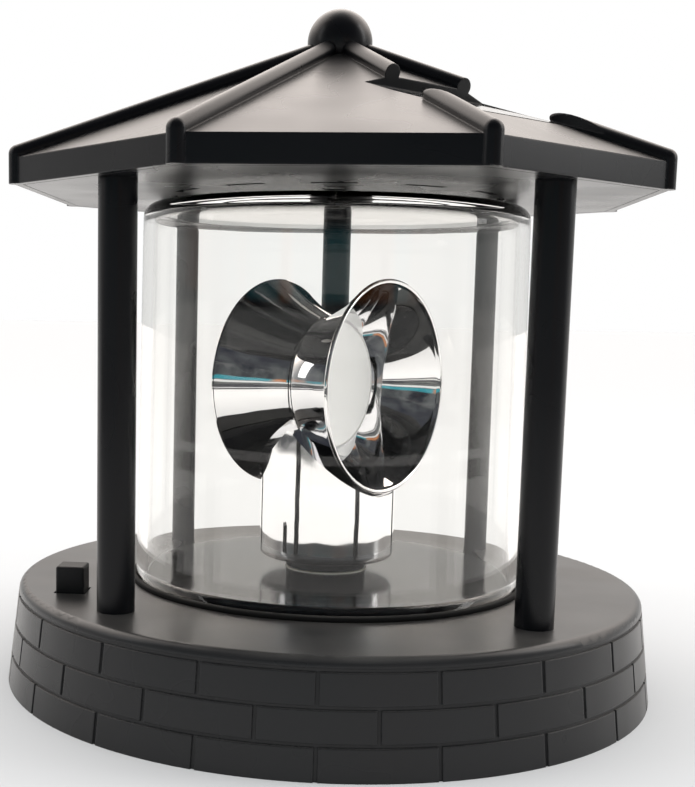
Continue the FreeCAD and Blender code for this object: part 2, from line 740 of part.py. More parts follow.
def make_led_lamp():
    flange = rod(LED_R + 0.4, LED_Z, LED_Z + 1)
    body = rod(LED_R, LED_Z, LED_TOP - LED_R)
    dome = Part.makeSphere(LED_R, V(0, 0, LED_TOP - LED_R))
    return join([flange, body, dome])


def make_bearing_bush():
    return rod(BUSH_R, BUSH_Z, BUSH_TOP).cut(rod(SPINDLE_R + RUN_FIT, BUSH_Z - 1, BUSH_TOP + 1))


# ---- turning reflector --------------------------------------------------------------------------------
def make_rotor_hub():
    spindle = rod(SPINDLE_R, DRIVE_GEAR_Z, HUB_Z)
    flange = rod(HUB_R, HUB_Z, STEM_Z)
    hub = join([spindle, flange])
    cuts = [rod(HUB_BORE_R, 0, STEM_Z + 1)]
    for p in hub_screw_points():
        cuts.append(rod_at(SMALL_SCREW_R, HUB_Z + 0.4, STEM_Z + 1, p))
    return hub.cut(cuts)


def hub_screw_points():
    reach = (HUB_BORE_R + HUB_R) / 2
    return [at(reach, HORN_AZ + 180 * k, STEM_Z + STEM_FLOOR_T) for k in range(2)]


def make_hub_screws():
    length = STEM_FLOOR_T + HUB_FLANGE_T - 0.5
    return Part.makeCompound(
        [screw(SMALL_HEAD_R, SMALL_HEAD_T, SMALL_SCREW_R, length, p, up=False) for p in hub_screw_points()])


def horn_point(along, radius):
    """A point of a horn's outline: along its axis from the middle, and up from that axis."""
    p = at(along, HORN_AZ)
    return V(p.x, p.y, HORN_Z + radius)


def horn_curve(shrink, end):
    """The flare from the neck to the rim, shrunk inward by a wall."""
    a = (HORN_NECK_HALF, HORN_NECK_R - shrink)
    b = (end, HORN_RIM_R - shrink)
    middle = ((a[0] + b[0]) / 2 + HORN_SAG * 0.5, (a[1] + b[1]) / 2 - HORN_SAG)
    return Part.Arc(horn_point(*a), horn_point(*middle), horn_point(*b)).toShape()


def horn_envelope(shrink):
    """The space that one flare and its half of the neck take, filled in, to the front."""
    start = horn_point(0, 0)
    neck0 = horn_point(0, HORN_NECK_R - shrink)
    neck1 = horn_point(HORN_NECK_HALF, HORN_NECK_R - shrink)
    flare = horn_curve(shrink, HORN_HALF_L)
    rim = flare.Vertexes[-1].Point
    axis_end = horn_point(HORN_HALF_L, 0)
    edges = [
        Part.makeLine(start, neck0),
        Part.makeLine(neck0, neck1),
        flare,
        Part.makeLine(rim, axis_end),
        Part.makeLine(axis_end, start),
    ]
    face = Part.Face(Part.Wire(edges))
    return face.revolve(horn_point(0, 0), at(1, HORN_AZ), 360)


def turned_about(shape):
    """The same shape on the other side of the turning axis."""
    other = shape.copy()
    other.rotate(V(0, 0, 0), UP, 180)
    return other


def make_horn():
    shell = horn_envelope(0).cut(horn_envelope(HORN_WALL))
    window = rod(WINDOW_R, HORN_Z - HORN_NECK_R - 2, HORN_Z - HORN_NECK_R / 2)
    return shell.cut(window)


def make_lens():
    start = horn_point(LENS_GAP, 0)
    return Part.makeCylinder(HORN_NECK_R - HORN_WALL, LENS_T, start, at(1, HORN_AZ))


def above_ridge(top):
    """Everything above a gabled top whose ridge lies level across the horns' axis at a height."""
    far = 2 * STEM_R
    low = top - far * STEM_TOP_SLOPE
    side = at(far, HORN_AZ + 90)
    points = []
    for along, z in ((-far, low), (0, top), (far, low), (far, top + far), (-far, top + far)):
        points.append(at(along, HORN_AZ, z) - side)
    return prism(points, side * 2)


def make_reflector_stem():
    outer = rod(STEM_R, STEM_Z, STEM_TOP_Z)
    outer = outer.makeFillet(STEM_FOOT_R, edges_at(outer, STEM_Z, STEM_R))
    outer = outer.cut(above_ridge(STEM_TOP_Z))
    inner = rod(STEM_R - STEM_WALL, STEM_Z + STEM_FLOOR_T, STEM_TOP_Z)
    inner = inner.cut(above_ridge(STEM_TOP_Z - STEM_WALL * 1.4))
    stem = outer.cut(inner)
    front = horn_envelope(0)
    cuts = [front, turned_about(front), rod(HUB_BORE_R, STEM_Z - 1, STEM_Z + STEM_FLOOR_T + 1)]
    for p in hub_screw_points():
        cuts.append(rod_at(SMALL_SCREW_R, STEM_Z - 1, STEM_Z + STEM_FLOOR_T + 1, p))
    return stem.cut(cuts)


# ---- button and switch ----------------------------------------------------------------------------
def make_button_cap():
    cap = square_bar(BUTTON_W, BUTTON_RIM_TOP - 0.1, BUTTON_TOP, BUTTON_X, BUTTON_Y)
    edges = [e for e in cap.Edges if e.BoundBox.ZMax > BUTTON_RIM_TOP]
    cap = cap.makeFillet(BUTTON_EDGE_R, edges)
    rim = square_bar(BUTTON_W + 2 * BUTTON_RIM, BUTTON_RIM_Z, BUTTON_RIM_TOP, BUTTON_X, BUTTON_Y)
    return join([cap, rim])


def plunger_drop():
    """How far the plunger reaches into the switch at rest."""
    return SWITCH_H - SWITCH_WALL - BUTTON_TRAVEL - FREE_GAP


def make_switch_plunger():
    return square_bar(PLUNGER_W, SWITCH_TOP - plunger_drop(), BUTTON_RIM_Z, BUTTON_X, BUTTON_Y)


def make_switch_body():
    body = square_bar(SWITCH_W, SWITCH_Z, SWITCH_TOP, BUTTON_X, BUTTON_Y)
    well = square_bar(PLUNGER_W + 2 * FREE_GAP, SWITCH_Z + SWITCH_WALL, SWITCH_TOP + 1, BUTTON_X, BUTTON_Y)
    return body.cut(well)


def coil(radius, wire_r, z0, length, turns, squash=1.0):
    """A coil spring standing on z0; squash is the top radius as a share of the foot's."""
    run = length - 2 * wire_r
    rise = math.degrees(math.atan((squash - 1) * radius / run))
    path = Part.makeHelix(run / turns, run, radius, rise)
    section = Part.Wire(Part.makeCircle(wire_r, V(radius, 0, 0), V(0, 1, 0)))
    spring = Part.Wire(path).makePipeShell([section], True, True)
    spring.translate(V(0, 0, z0 + wire_r))
    return spring


def make_button_spring():
    radius = PLUNGER_W / 2 * math.sqrt(2) + SPRING_WIRE / 2 + FREE_GAP
    spring = coil(radius, SPRING_WIRE / 2, SWITCH_TOP, BUTTON_RIM_Z - SWITCH_TOP, SPRING_TURNS - 2)
    spring.translate(V(BUTTON_X, BUTTON_Y, 0))
    return spring


# ---- power and control --------------------------------------------------------------------------
def make_battery_cell():
    y0 = -CHAMBER_L / 2 + CONTACT_T + CONTACT_SPRING_L
    nipple = CELL_TIP_L
    body = Part.makeCylinder(CELL_R, CELL_L - nipple, V(CELL_X, y0, CELL_Z), V(0, 1, 0))
    tip = Part.makeCylinder(CELL_TIP_R, nipple, V(CELL_X, y0 + CELL_L - nipple, CELL_Z), V(0, 1, 0))
    return join([body, tip])


def make_battery_tray():
    half_w = CELL_R + SEAT_GAP + TRAY_T
    half_l = CHAMBER_L / 2 + TRAY_T
    high = CELL_Z + CELL_R * 0.45
    tray = block(CELL_X - half_w, CELL_X + half_w, -half_l, half_l, TRAY_Z, high)
    room = block(CELL_X - half_w + TRAY_T, CELL_X + half_w - TRAY_T, -CHAMBER_L / 2, CHAMBER_L / 2,
                 TRAY_Z + TRAY_T, high + 1)
    return tray.cut(room)


def make_contact_spring():
    plate = contact_blade(-CHAMBER_L / 2, -CHAMBER_L / 2 + CONTACT_T)
    spring = coil(CELL_R * 0.62, CONTACT_WIRE_R, 0, CONTACT_SPRING_L, 3, 0.6)
    spring.rotate(V(0, 0, 0), V(1, 0, 0), -90)
    spring.translate(V(CELL_X, -CHAMBER_L / 2 + CONTACT_T, CELL_Z))
    return Part.makeCompound([plate, spring])


def contact_blade(y0, y1):
    half = CELL_R * 0.8
    return block(CELL_X - half, CELL_X + half, y0, y1, TRAY_Z + TRAY_T, CELL_Z + half)


def make_contact_plate():
    return contact_blade(CHAMBER_L / 2 - CONTACT_T, CHAMBER_L / 2)


def board_screw_points():
    inset = BOARD_SCREW_INSET
    return [V(BOARD_X[1] - inset, BOARD_Y[0] + inset, 0), V(BOARD_X[0] + inset, BOARD_Y[1] - inset, 0)]


def make_control_board():
    board = block(BOARD_X[0], BOARD_X[1], BOARD_Y[0], BOARD_Y[1], BOARD_Z, SWITCH_Z)
    return board.cut([rod_at(SMALL_SCREW_R, BOARD_Z - 1, SWITCH_Z + 1, p) for p in board_screw_points()])


def make_board_pillars():
    pillars = []
    for p in board_screw_points():
        pillar = rod_at(SMALL_BOSS_R, COVER_T, BOARD_Z, p)
        pillars.append(pillar.cut(rod_at(SMALL_SCREW_R, BOARD_Z - 3, BOARD_Z + 1, p)))
    return pillars


def make_board_screws():
    points = [V(p.x, p.y, SWITCH_Z) for p in board_screw_points()]
    length = BOARD_T + BOARD_SCREW_GRIP
    return Part.makeCompound(
        [screw(SMALL_HEAD_R, SMALL_HEAD_T, SMALL_SCREW_R, length, p, up=False) for p in points])


def make_control_chip():
    x = (BOARD_X[0] + BOARD_X[1]) / 2 + 2
    y = (BOARD_Y[0] + BOARD_Y[1]) / 2 + 3
    low = SWITCH_Z + CHIP_LIFT
    body = block(x - CHIP_L / 2, x + CHIP_L / 2, y - CHIP_W / 2, y + CHIP_W / 2, low, low + CHIP_T)
    legs = []
    for k in range(4):
        leg_x = x + LEG_PITCH * (k - 1.5)
        legs.append(block(leg_x - LEG_W / 2, leg_x + LEG_W / 2, y - LEG_SPAN / 2, y + LEG_SPAN / 2,
                          SWITCH_Z, SWITCH_Z + LEG_T))
    return join([body] + legs)


def make_capacitor():
    x = BOARD_X[1] - 4.0
    y = BOARD_Y[1] - 5.0
    return rod(CAPACITOR_R, SWITCH_Z, SWITCH_Z + CAPACITOR_H, x, y)


# ---- the whole object ---------------------------------------------------------------------------
def build():
    os.makedirs("parts", exist_ok=True)
    save(make_base_drum(), "base_drum")
    save(join([make_bottom_cover()] + make_board_pillars()), "bottom_cover")
    save(make_bottom_screws(), "bottom_screws")
    save(make_deck_plate(), "deck_plate")
    save(make_cover_gasket(), "cover_gasket")
    save(make_clear_cover(), "clear_cover")

    for name, azimuth in POST_AZ.items():
        save(post(azimuth, SCREW_R, SCREW_L), name)
    save(post(WIRE_POST_AZ, WIRE_BORE_R, SOFFIT_TOP - DECK_UNDER), "wire_post")
    save(make_post_foot_screws(), "post_foot_screws")
    save(make_post_head_screws(), "post_head_screws")

    save(make_soffit_plate(), "soffit_plate")
    save(make_soffit_screws(), "soffit_screws")
    save(make_roof_shell(), "roof_shell")
    save(make_finial(), "finial")
    save(make_solar_backing(), "solar_backing")
    save(make_solar_cells(), "solar_cells")
    save(make_solar_glaze(), "solar_glaze")

    save(make_gear_plate(), "gear_plate")
    save(make_gear_plate_screws(), "gear_plate_screws")
    save(make_gear_axle(), "gear_axle")
    save(make_idler_gear(), "idler_gear")
    save(make_motor_can(), "motor_can")
    save(make_motor_shaft(), "motor_shaft")
    save(make_motor_pinion(), "motor_pinion")
    save(make_bearing_bush(), "bearing_bush")
    save(make_led_mast(), "led_mast")
    save(make_led_lamp(), "led_lamp")

    horn = make_horn()
    lens = make_lens()
    save(make_rotor_hub(), "rotor_hub")
    save(make_drive_gear(), "drive_gear")
    save(make_hub_screws(), "hub_screws")
    save(make_reflector_stem(), "reflector_stem")
    save(horn, "horn_front")
    save(turned_about(horn), "horn_rear")
    save(lens, "lens_front")
    save(turned_about(lens), "lens_rear")

    save(make_button_cap(), "button_cap")
    save(make_switch_plunger(), "switch_plunger")
    save(make_switch_body(), "switch_body")
    save(make_button_spring(), "button_spring")

    save(make_battery_cell(), "battery_cell")
    save(make_battery_tray(), "battery_tray")
    save(make_contact_spring(), "contact_spring")
    save(make_contact_plate(), "contact_plate")
    save(make_control_board(), "control_board")
    save(make_board_screws(), "board_screws")
    save(make_control_chip(), "control_chip")
    save(make_capacitor(), "capacitor")


build()
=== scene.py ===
import json
import math

import bmesh
import bpy
from mathutils import Matrix, Vector


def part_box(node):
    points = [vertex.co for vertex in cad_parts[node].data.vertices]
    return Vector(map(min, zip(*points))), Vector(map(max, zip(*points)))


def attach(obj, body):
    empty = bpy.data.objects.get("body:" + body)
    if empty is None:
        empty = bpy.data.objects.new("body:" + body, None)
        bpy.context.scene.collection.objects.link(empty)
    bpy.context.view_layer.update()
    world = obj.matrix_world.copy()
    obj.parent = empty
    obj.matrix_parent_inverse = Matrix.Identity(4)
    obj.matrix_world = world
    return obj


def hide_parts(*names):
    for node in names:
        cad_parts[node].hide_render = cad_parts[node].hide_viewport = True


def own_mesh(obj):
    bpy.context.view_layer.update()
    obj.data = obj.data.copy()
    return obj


# The looks of a small solar lantern whose chromed twin-horn reflector turns inside a clear cover.
# Metres, +Z up, front along -Y. An azimuth is counted in degrees from the front towards the right.

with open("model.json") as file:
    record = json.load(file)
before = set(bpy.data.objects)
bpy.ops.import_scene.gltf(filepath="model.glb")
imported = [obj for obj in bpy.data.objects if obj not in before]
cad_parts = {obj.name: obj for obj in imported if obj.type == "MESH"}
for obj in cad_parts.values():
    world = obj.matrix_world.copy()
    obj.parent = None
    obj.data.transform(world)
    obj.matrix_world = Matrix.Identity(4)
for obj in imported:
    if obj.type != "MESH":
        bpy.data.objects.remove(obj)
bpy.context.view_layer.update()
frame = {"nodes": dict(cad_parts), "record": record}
NODES = frame["nodes"]
MM = 0.001

# ---- sizes that the frame does not give -------------------------------------------------------
HORN_AZ = 55.4
GLASS_WALL = 2.0 * MM
GLASS_SHOULDER = 2.6 * MM
GLASS_FOOT_EDGE = 0.25 * MM
AXIS_GAP = 0.02 * MM
GLASS_DRAFT = 0.9 * MM
SEAL_BEAD = 0.9 * MM
HORN_WALL = 0.9 * MM
HORN_NECK_R = 13.0 * MM
HORN_NECK_HALF = 0.35 * MM
LENS_FACE = 1.45 * MM
HORN_SAG = 0.5 * MM
TURNING_SEGMENTS = 192
FINGER_PITCH = 1.15 * MM
FINGER_W = 0.09 * MM
BUS_W = 0.5 * MM
SILVER_T = 0.02 * MM
SPRING_WIRE_R = 0.2 * MM
SPRING_COILS = 2.0
FLOOR_HALF = 6.0
# where the painted reflection of a tabletop edge and its rail begin
PAINTED_TABLE_EDGE = 0.40
PAINTED_RAIL = 0.50


def at(radius, azimuth, z=0.0):
    """The point at a radius from the middle, at an azimuth from the front towards the right."""
    a = math.radians(azimuth)
    return Vector((radius * math.sin(a), -radius * math.cos(a), z))


# ---- camera -------------------------------------------------------------------------------------
CAMERA_PLACE = Vector((2.8, -244.7, 71.2)) * MM
CAMERA_PAN = 5.07
CAMERA_TILT = -7.53
CAMERA_ROLL = 1.01
CAMERA_LENS_OVER_LONG_SIDE = 1.584
CAMERA_SHIFT = (0.146, 0.103)


def make_camera():
    data = bpy.data.cameras.new("camera")
    data.sensor_fit = "AUTO"
    data.sensor_width = 36.0
    data.lens = 36.0 * CAMERA_LENS_OVER_LONG_SIDE
    data.shift_x, data.shift_y = CAMERA_SHIFT
    data.clip_start = 0.01
    data.clip_end = 20.0
    camera = bpy.data.objects.new("camera", data)
    bpy.context.scene.collection.objects.link(camera)
    level = Matrix.Rotation(math.radians(90), 4, "X")
    pan = Matrix.Rotation(math.radians(CAMERA_PAN), 4, "Z")
    tilt = Matrix.Rotation(math.radians(CAMERA_TILT), 4, "X")
    roll = Matrix.Rotation(math.radians(CAMERA_ROLL), 4, "Z")
    camera.matrix_world = Matrix.Translation(CAMERA_PLACE) @ pan @ level @ tilt @ roll
    bpy.context.scene.camera = camera


# ---- node helpers -------------------------------------------------------------------------------
def link(tree, source, target):
    tree.links.new(source, target)


def node(tree, kind, place=(0, 0), **settings):
    """A new node with its settings and the default values of its named inputs."""
    made = tree.nodes.new(kind)
    made.location = place
    for key, value in settings.items():
        if hasattr(made, key):
            setattr(made, key, value)
        else:
            made.inputs[key.replace("_", " ")].default_value = value
    return made


def math_node(tree, operation, a, b=None, clamp=False):
    """A Math node whose inputs are sockets or plain numbers."""
    made = tree.nodes.new("ShaderNodeMath")
    made.operation = operation
    made.use_clamp = clamp
    for k, value in enumerate((a, b)):
        if value is None:
            continue
        if isinstance(value, (int, float)):
            made.inputs[k].default_value = value
        else:
            link(tree, value, made.inputs[k])
    return made.outputs[0]


def ramp(tree, value, low, high, start=0.0, end=1.0):
    """A socket that goes from start to end, and no further, as a value goes from low to high."""
    made = node(tree, "ShaderNodeMapRange", From_Min=low, From_Max=high, To_Min=start, To_Max=end)
    link(tree, value, made.inputs["Value"])
    return made.outputs["Result"]


def raised(tree, shader, height, strength, distance, over=None):
    """Feeds a height to a shader's normal as a bump, over another normal if one is given."""
    bump = node(tree, "ShaderNodeBump", Strength=strength, Distance=distance)
    link(tree, height, bump.inputs["Height"])
    if over is not None:
        link(tree, over, bump.inputs["Normal"])
    link(tree, bump.outputs["Normal"], shader.inputs["Normal"])


def group_tree(name, inputs, outputs):
    """A shader group with named number inputs and named outputs."""
    tree = bpy.data.node_groups.new(name, "ShaderNodeTree")
    for label, value in inputs:
        socket = tree.interface.new_socket(label, in_out="INPUT", socket_type="NodeSocketFloat")
        socket.default_value = value
    for label, kind in outputs:
        tree.interface.new_socket(label, in_out="OUTPUT", socket_type=kind)
    return tree, tree.nodes.new("NodeGroupInput"), tree.nodes.new("NodeGroupOutput")


def use_group(tree, group, **values):
    made = tree.nodes.new("ShaderNodeGroup")
    made.node_tree = group
    for key, value in values.items():
        made.inputs[key.replace("_", " ")].default_value = value
    return made


# ---- shared surface effects ---------------------------------------------------------------------
def make_moulded_grain():
    """The fine orange-peel skin of moulded plastic, and a slow drift in its sheen."""
    tree, enter, leave = group_tree(
        "moulded grain", [("Grain Scale", 2600.0), ("Drift Scale", 45.0)],
        [("Height", "NodeSocketFloat"), ("Drift", "NodeSocketFloat")])
    place = node(tree, "ShaderNodeTexCoord")
    fine = node(tree, "ShaderNodeTexNoise", Detail=3.0, Roughness=0.6)
    slow = node(tree, "ShaderNodeTexNoise", Detail=2.0, Roughness=0.5)
    link(tree, place.outputs["Object"], fine.inputs["Vector"])
    link(tree, place.outputs["Object"], slow.inputs["Vector"])
    link(tree, enter.outputs["Grain Scale"], fine.inputs["Scale"])
    link(tree, enter.outputs["Drift Scale"], slow.inputs["Scale"])
    link(tree, fine.outputs["Fac"], leave.inputs["Height"])
    link(tree, slow.outputs["Fac"], leave.inputs["Drift"])
    return tree


def make_edge_wear():
    """A mask that is 1 on the outer edges of a piece, broken up by noise: worn edges, and a painted edge
    highlight where it lightens a colour.
    """
    tree, enter, leave = group_tree(
        "edge wear and painted highlight", [("Width", 0.0004), ("Break Up", 900.0), ("Amount", 1.0)],
        [("Mask", "NodeSocketFloat")])
    bevel = node(tree, "ShaderNodeBevel", samples=4)
    link(tree, enter.outputs["Width"], bevel.inputs["Radius"])
    shape = node(tree, "ShaderNodeNewGeometry")
    dot = tree.nodes.new("ShaderNodeVectorMath")
    dot.operation = "DOT_PRODUCT"
    link(tree, bevel.outputs["Normal"], dot.inputs[0])
    link(tree, shape.outputs["Normal"], dot.inputs[1])
    turned = math_node(tree, "SUBTRACT", 1.0, dot.outputs["Value"])
    strong = math_node(tree, "MULTIPLY", turned, 9.0, clamp=True)
    place = node(tree, "ShaderNodeTexCoord")
    noise = node(tree, "ShaderNodeTexNoise", Detail=4.0, Roughness=0.65)
    link(tree, place.outputs["Object"], noise.inputs["Vector"])
    link(tree, enter.outputs["Break Up"], noise.inputs["Scale"])
    worn_and_highlit = math_node(tree, "MULTIPLY", strong, ramp(tree, noise.outputs["Fac"], 0.42, 0.62))
    amount = math_node(tree, "MULTIPLY", worn_and_highlit, enter.outputs["Amount"], clamp=True)
    link(tree, amount, leave.inputs["Mask"])
    return tree


def make_settled_dust():
    """A thin film on faces that look up, thicker in patches."""
    tree, enter, leave = group_tree(
        "settled dust", [("Amount", 0.2), ("Patch Scale", 60.0)], [("Mask", "NodeSocketFloat")])
    shape = node(tree, "ShaderNodeNewGeometry")
    split = node(tree, "ShaderNodeSeparateXYZ")
    link(tree, shape.outputs["Normal"], split.inputs["Vector"])
    upward = ramp(tree, split.outputs["Z"], 0.35, 0.98)
    place = node(tree, "ShaderNodeTexCoord")
    patches = node(tree, "ShaderNodeTexNoise", Detail=5.0, Roughness=0.6)
    specks = node(tree, "ShaderNodeTexNoise", Scale=5200.0, Detail=1.0)
    link(tree, place.outputs["Object"], patches.inputs["Vector"])
    link(tree, place.outputs["Object"], specks.inputs["Vector"])
    link(tree, enter.outputs["Patch Scale"], patches.inputs["Scale"])
    speck = ramp(tree, specks.outputs["Fac"], 0.70, 0.80, 0.0, 0.5)
    patch = ramp(tree, patches.outputs["Fac"], 0.3, 0.8)
    laid = math_node(tree, "MULTIPLY", math_node(tree, "ADD", patch, speck, clamp=True), upward)
    amount = math_node(tree, "MULTIPLY", laid, enter.outputs["Amount"], clamp=True)
    link(tree, amount, leave.inputs["Mask"])
    return tree


def make_handling_marks():
    """Faint wipes and hairlines that change how sharp a gloss is."""
    tree, enter, leave = group_tree(
        "handling marks", [("Low", 0.02), ("High", 0.08), ("Mark Scale", 40.0)],
        [("Roughness", "NodeSocketFloat"), ("Height", "NodeSocketFloat")])
    place = node(tree, "ShaderNodeTexCoord")
    wipes = node(tree, "ShaderNodeTexNoise", Detail=6.0, Roughness=0.7, Distortion=1.2)
    link(tree, place.outputs["Object"], wipes.inputs["Vector"])
    link(tree, enter.outputs["Mark Scale"], wipes.inputs["Scale"])
    spread = node(tree, "ShaderNodeMapRange", From_Min=0.35, From_Max=0.75)
    link(tree, wipes.outputs["Fac"], spread.inputs["Value"])
    link(tree, enter.outputs["Low"], spread.inputs["To Min"])
    link(tree, enter.outputs["High"], spread.inputs["To Max"])
    link(tree, spread.outputs["Result"], leave.inputs["Roughness"])
    link(tree, wipes.outputs["Fac"], leave.inputs["Height"])
    return tree


GRAIN = make_moulded_grain()
WEAR_AND_EDGE_HIGHLIGHT = make_edge_wear()
DUST = make_settled_dust()
MARKS = make_handling_marks()


# ---- finishes -------------------------------------------------------------------------------------
DUST_COLOUR = (0.42, 0.41, 0.38)
# painted glow of the diffuser discs, which are no lamp
PAINTED_DISC_GLOW = 0.20


def new_finish(name):
    """An empty material with a Principled shader; gives the material, its tree and the shader."""
    made = bpy.data.materials.new(name)
    made.use_nodes = True
    tree = made.node_tree
    shader = tree.nodes["Principled BSDF"]
    return made, tree, shader


def blended(tree, mask, low, high):
    """A colour between two plain colours or sockets, by a mask."""
    mix = tree.nodes.new("ShaderNodeMix")
    mix.data_type = "RGBA"
    link(tree, mask, mix.inputs["Factor"])
    for socket, value in ((mix.inputs[6], low), (mix.inputs[7], high)):
        if isinstance(value, tuple):
            socket.default_value = value + (1.0,)
        else:
            link(tree, value, socket)
    return mix.outputs[2]


def moulded_plastic(name, colour, worn_and_highlit_colour, rough, gloss=0.3, grain=0.05, dust=0.12, wear=0.5,
                    edge=0.35):
    """Moulded plastic: grain, drifting sheen, rounded and slightly worn edges with a painted edge
    highlight, a little dust.
    """
    made, tree, shader = new_finish(name)
    shader.inputs["Specular IOR Level"].default_value = gloss
    skin = use_group(tree, GRAIN)
    worn_and_highlit = use_group(tree, WEAR_AND_EDGE_HIGHLIGHT, Width=edge * MM, Amount=wear)
    laid = use_group(tree, DUST, Amount=dust)
    darker, lighter = (tuple(c * share for c in colour) for share in (0.8, 1.25))
    tone = blended(tree, skin.outputs["Drift"], darker, lighter)
    # lighter edges: worn edges, and partly a painted edge highlight
    tone = blended(tree, worn_and_highlit.outputs["Mask"], tone, worn_and_highlit_colour)
    tone = blended(tree, laid.outputs["Mask"], tone, DUST_COLOUR)
    link(tree, tone, shader.inputs["Base Color"])
    sheen = ramp(tree, skin.outputs["Drift"], 0.3, 0.7, rough * 0.85, rough * 1.2)
    dulled = math_node(tree, "MULTIPLY", laid.outputs["Mask"], 0.5)
    link(tree, math_node(tree, "ADD", sheen, dulled, clamp=True), shader.inputs["Roughness"])
    rounded = node(tree, "ShaderNodeBevel", samples=4, Radius=edge * MM)
    raised(tree, shader, skin.outputs["Height"], grain, 0.2 * MM, rounded.outputs["Normal"])
    return made


def plated_chrome(name):
    """Vacuum-plated plastic: a mirror with a slight ripple and faint wipes."""
    made, tree, shader = new_finish(name)
    shader.inputs["Metallic"].default_value = 1.0
    marks = use_group(tree, MARKS, Low=0.025, High=0.07, Mark_Scale=70.0)
    place = node(tree, "ShaderNodeTexCoord")
    ripple = node(tree, "ShaderNodeTexNoise", Scale=150.0, Detail=1.0)
    link(tree, place.outputs["Object"], ripple.inputs["Vector"])
    tone = blended(tree, ripple.outputs["Fac"], (0.90, 0.90, 0.92), (0.96, 0.96, 0.96))
    link(tree, tone, shader.inputs["Base Color"])
    link(tree, marks.outputs["Roughness"], shader.inputs["Roughness"])
    raised(tree, shader, ripple.outputs["Fac"], 0.10, 0.6 * MM)
    return made


def clear_moulding(name, tint, low, high, ior=1.49, lets_light_in=False):
    """Clear moulded plastic with faint wipes and flow marks."""
    made, tree, shader = new_finish(name)
    shader.inputs["Transmission Weight"].default_value = 1.0
    shader.inputs["IOR"].default_value = ior
    marks = use_group(tree, MARKS, Low=low, High=high, Mark_Scale=30.0)
    tone = blended(tree, marks.outputs["Height"], tint, tuple(min(1.0, c * 1.02) for c in tint))
    link(tree, tone, shader.inputs["Base Color"])
    link(tree, marks.outputs["Roughness"], shader.inputs["Roughness"])
    if lets_light_in:
        rays = node(tree, "ShaderNodeLightPath")
        open_air = node(tree, "ShaderNodeBsdfTransparent", Color=(0.94, 0.94, 0.93, 1.0))
        mix = node(tree, "ShaderNodeMixShader")
        unbent = math_node(tree, "MAXIMUM", rays.outputs["Is Shadow Ray"], rays.outputs["Is Diffuse Ray"])
        link(tree, unbent, mix.inputs["Fac"])
        link(tree, shader.outputs[0], mix.inputs[1])
        link(tree, open_air.outputs[0], mix.inputs[2])
        link(tree, mix.outputs[0], tree.nodes["Material Output"].inputs["Surface"])
    return made


def milky_diffuser(name):
    """White diffuser sheet with a faint grain pressed in its face, and a painted glow that stands in for
    light not reaching it inside the horn.
    """
    made, tree, shader = new_finish(name)
    shader.inputs["Subsurface Weight"].default_value = 0.15
    shader.inputs["Subsurface Radius"].default_value = (0.002, 0.002, 0.002)
    skin = use_group(tree, GRAIN, Grain_Scale=1800.0)
    tone = blended(tree, skin.outputs["Drift"], (0.90, 0.90, 0.885), (0.96, 0.96, 0.95))
    link(tree, tone, shader.inputs["Base Color"])
    shader.inputs["Roughness"].default_value = 0.32
    # painted glow: a faint emission makes the disc look brightly lit, though it is no lamp
    shader.inputs["Emission Color"].default_value = (1.0, 0.99, 0.96, 1.0)
    shader.inputs["Emission Strength"].default_value = PAINTED_DISC_GLOW
    raised(tree, shader, skin.outputs["Height"], 0.08, 0.1 * MM)
    return made


def drawn_metal(name, colour, rough, along="Z", fine=1800.0):
    """Bare or plated metal with fine lines along one axis."""
    made, tree, shader = new_finish(name)
    shader.inputs["Metallic"].default_value = 1.0
    place = node(tree, "ShaderNodeTexCoord")
    squeeze = node(tree, "ShaderNodeMapping")
    squeeze.inputs["Scale"].default_value = [0.04 if axis == along else 1.0 for axis in "XYZ"]
    lines = node(tree, "ShaderNodeTexNoise", Scale=fine, Detail=4.0)
    link(tree, place.outputs["Object"], squeeze.inputs["Vector"])
    link(tree, squeeze.outputs["Vector"], lines.inputs["Vector"])
    worn_and_highlit = use_group(tree, WEAR_AND_EDGE_HIGHLIGHT, Width=0.0002, Amount=0.6)
    tone = blended(tree, lines.outputs["Fac"], tuple(c * 0.8 for c in colour), colour)
    # lighter edges: worn edges, and partly a painted edge highlight
    tone = blended(tree, worn_and_highlit.outputs["Mask"], tone, tuple(min(1.0, c * 1.3) for c in colour))
    link(tree, tone, shader.inputs["Base Color"])
    sheen = ramp(tree, lines.outputs["Fac"], 0.3, 0.7, rough * 0.7, rough * 1.3)
    link(tree, sheen, shader.inputs["Roughness"])
    raised(tree, shader, lines.outputs["Fac"], 0.12, 0.1 * MM)
    return made


def silicon_cells(name):
    """Dark blue-black cells whose crystals catch the light a little differently."""
    made, tree, shader = new_finish(name)
    place = node(tree, "ShaderNodeTexCoord")
    crystals = node(tree, "ShaderNodeTexVoronoi", Scale=420.0)
    link(tree, place.outputs["Object"], crystals.inputs["Vector"])
    split = node(tree, "ShaderNodeSeparateColor")
    link(tree, crystals.outputs["Color"], split.inputs["Color"])
    tone = blended(tree, split.outputs["Red"], (0.006, 0.008, 0.020), (0.018, 0.024, 0.060))
    link(tree, tone, shader.inputs["Base Color"])
    link(tree, ramp(tree, split.outputs["Green"], 0.0, 1.0, 0.16, 0.30), shader.inputs["Roughness"])
    shader.inputs["Coat Weight"].default_value = 0.6
    return made


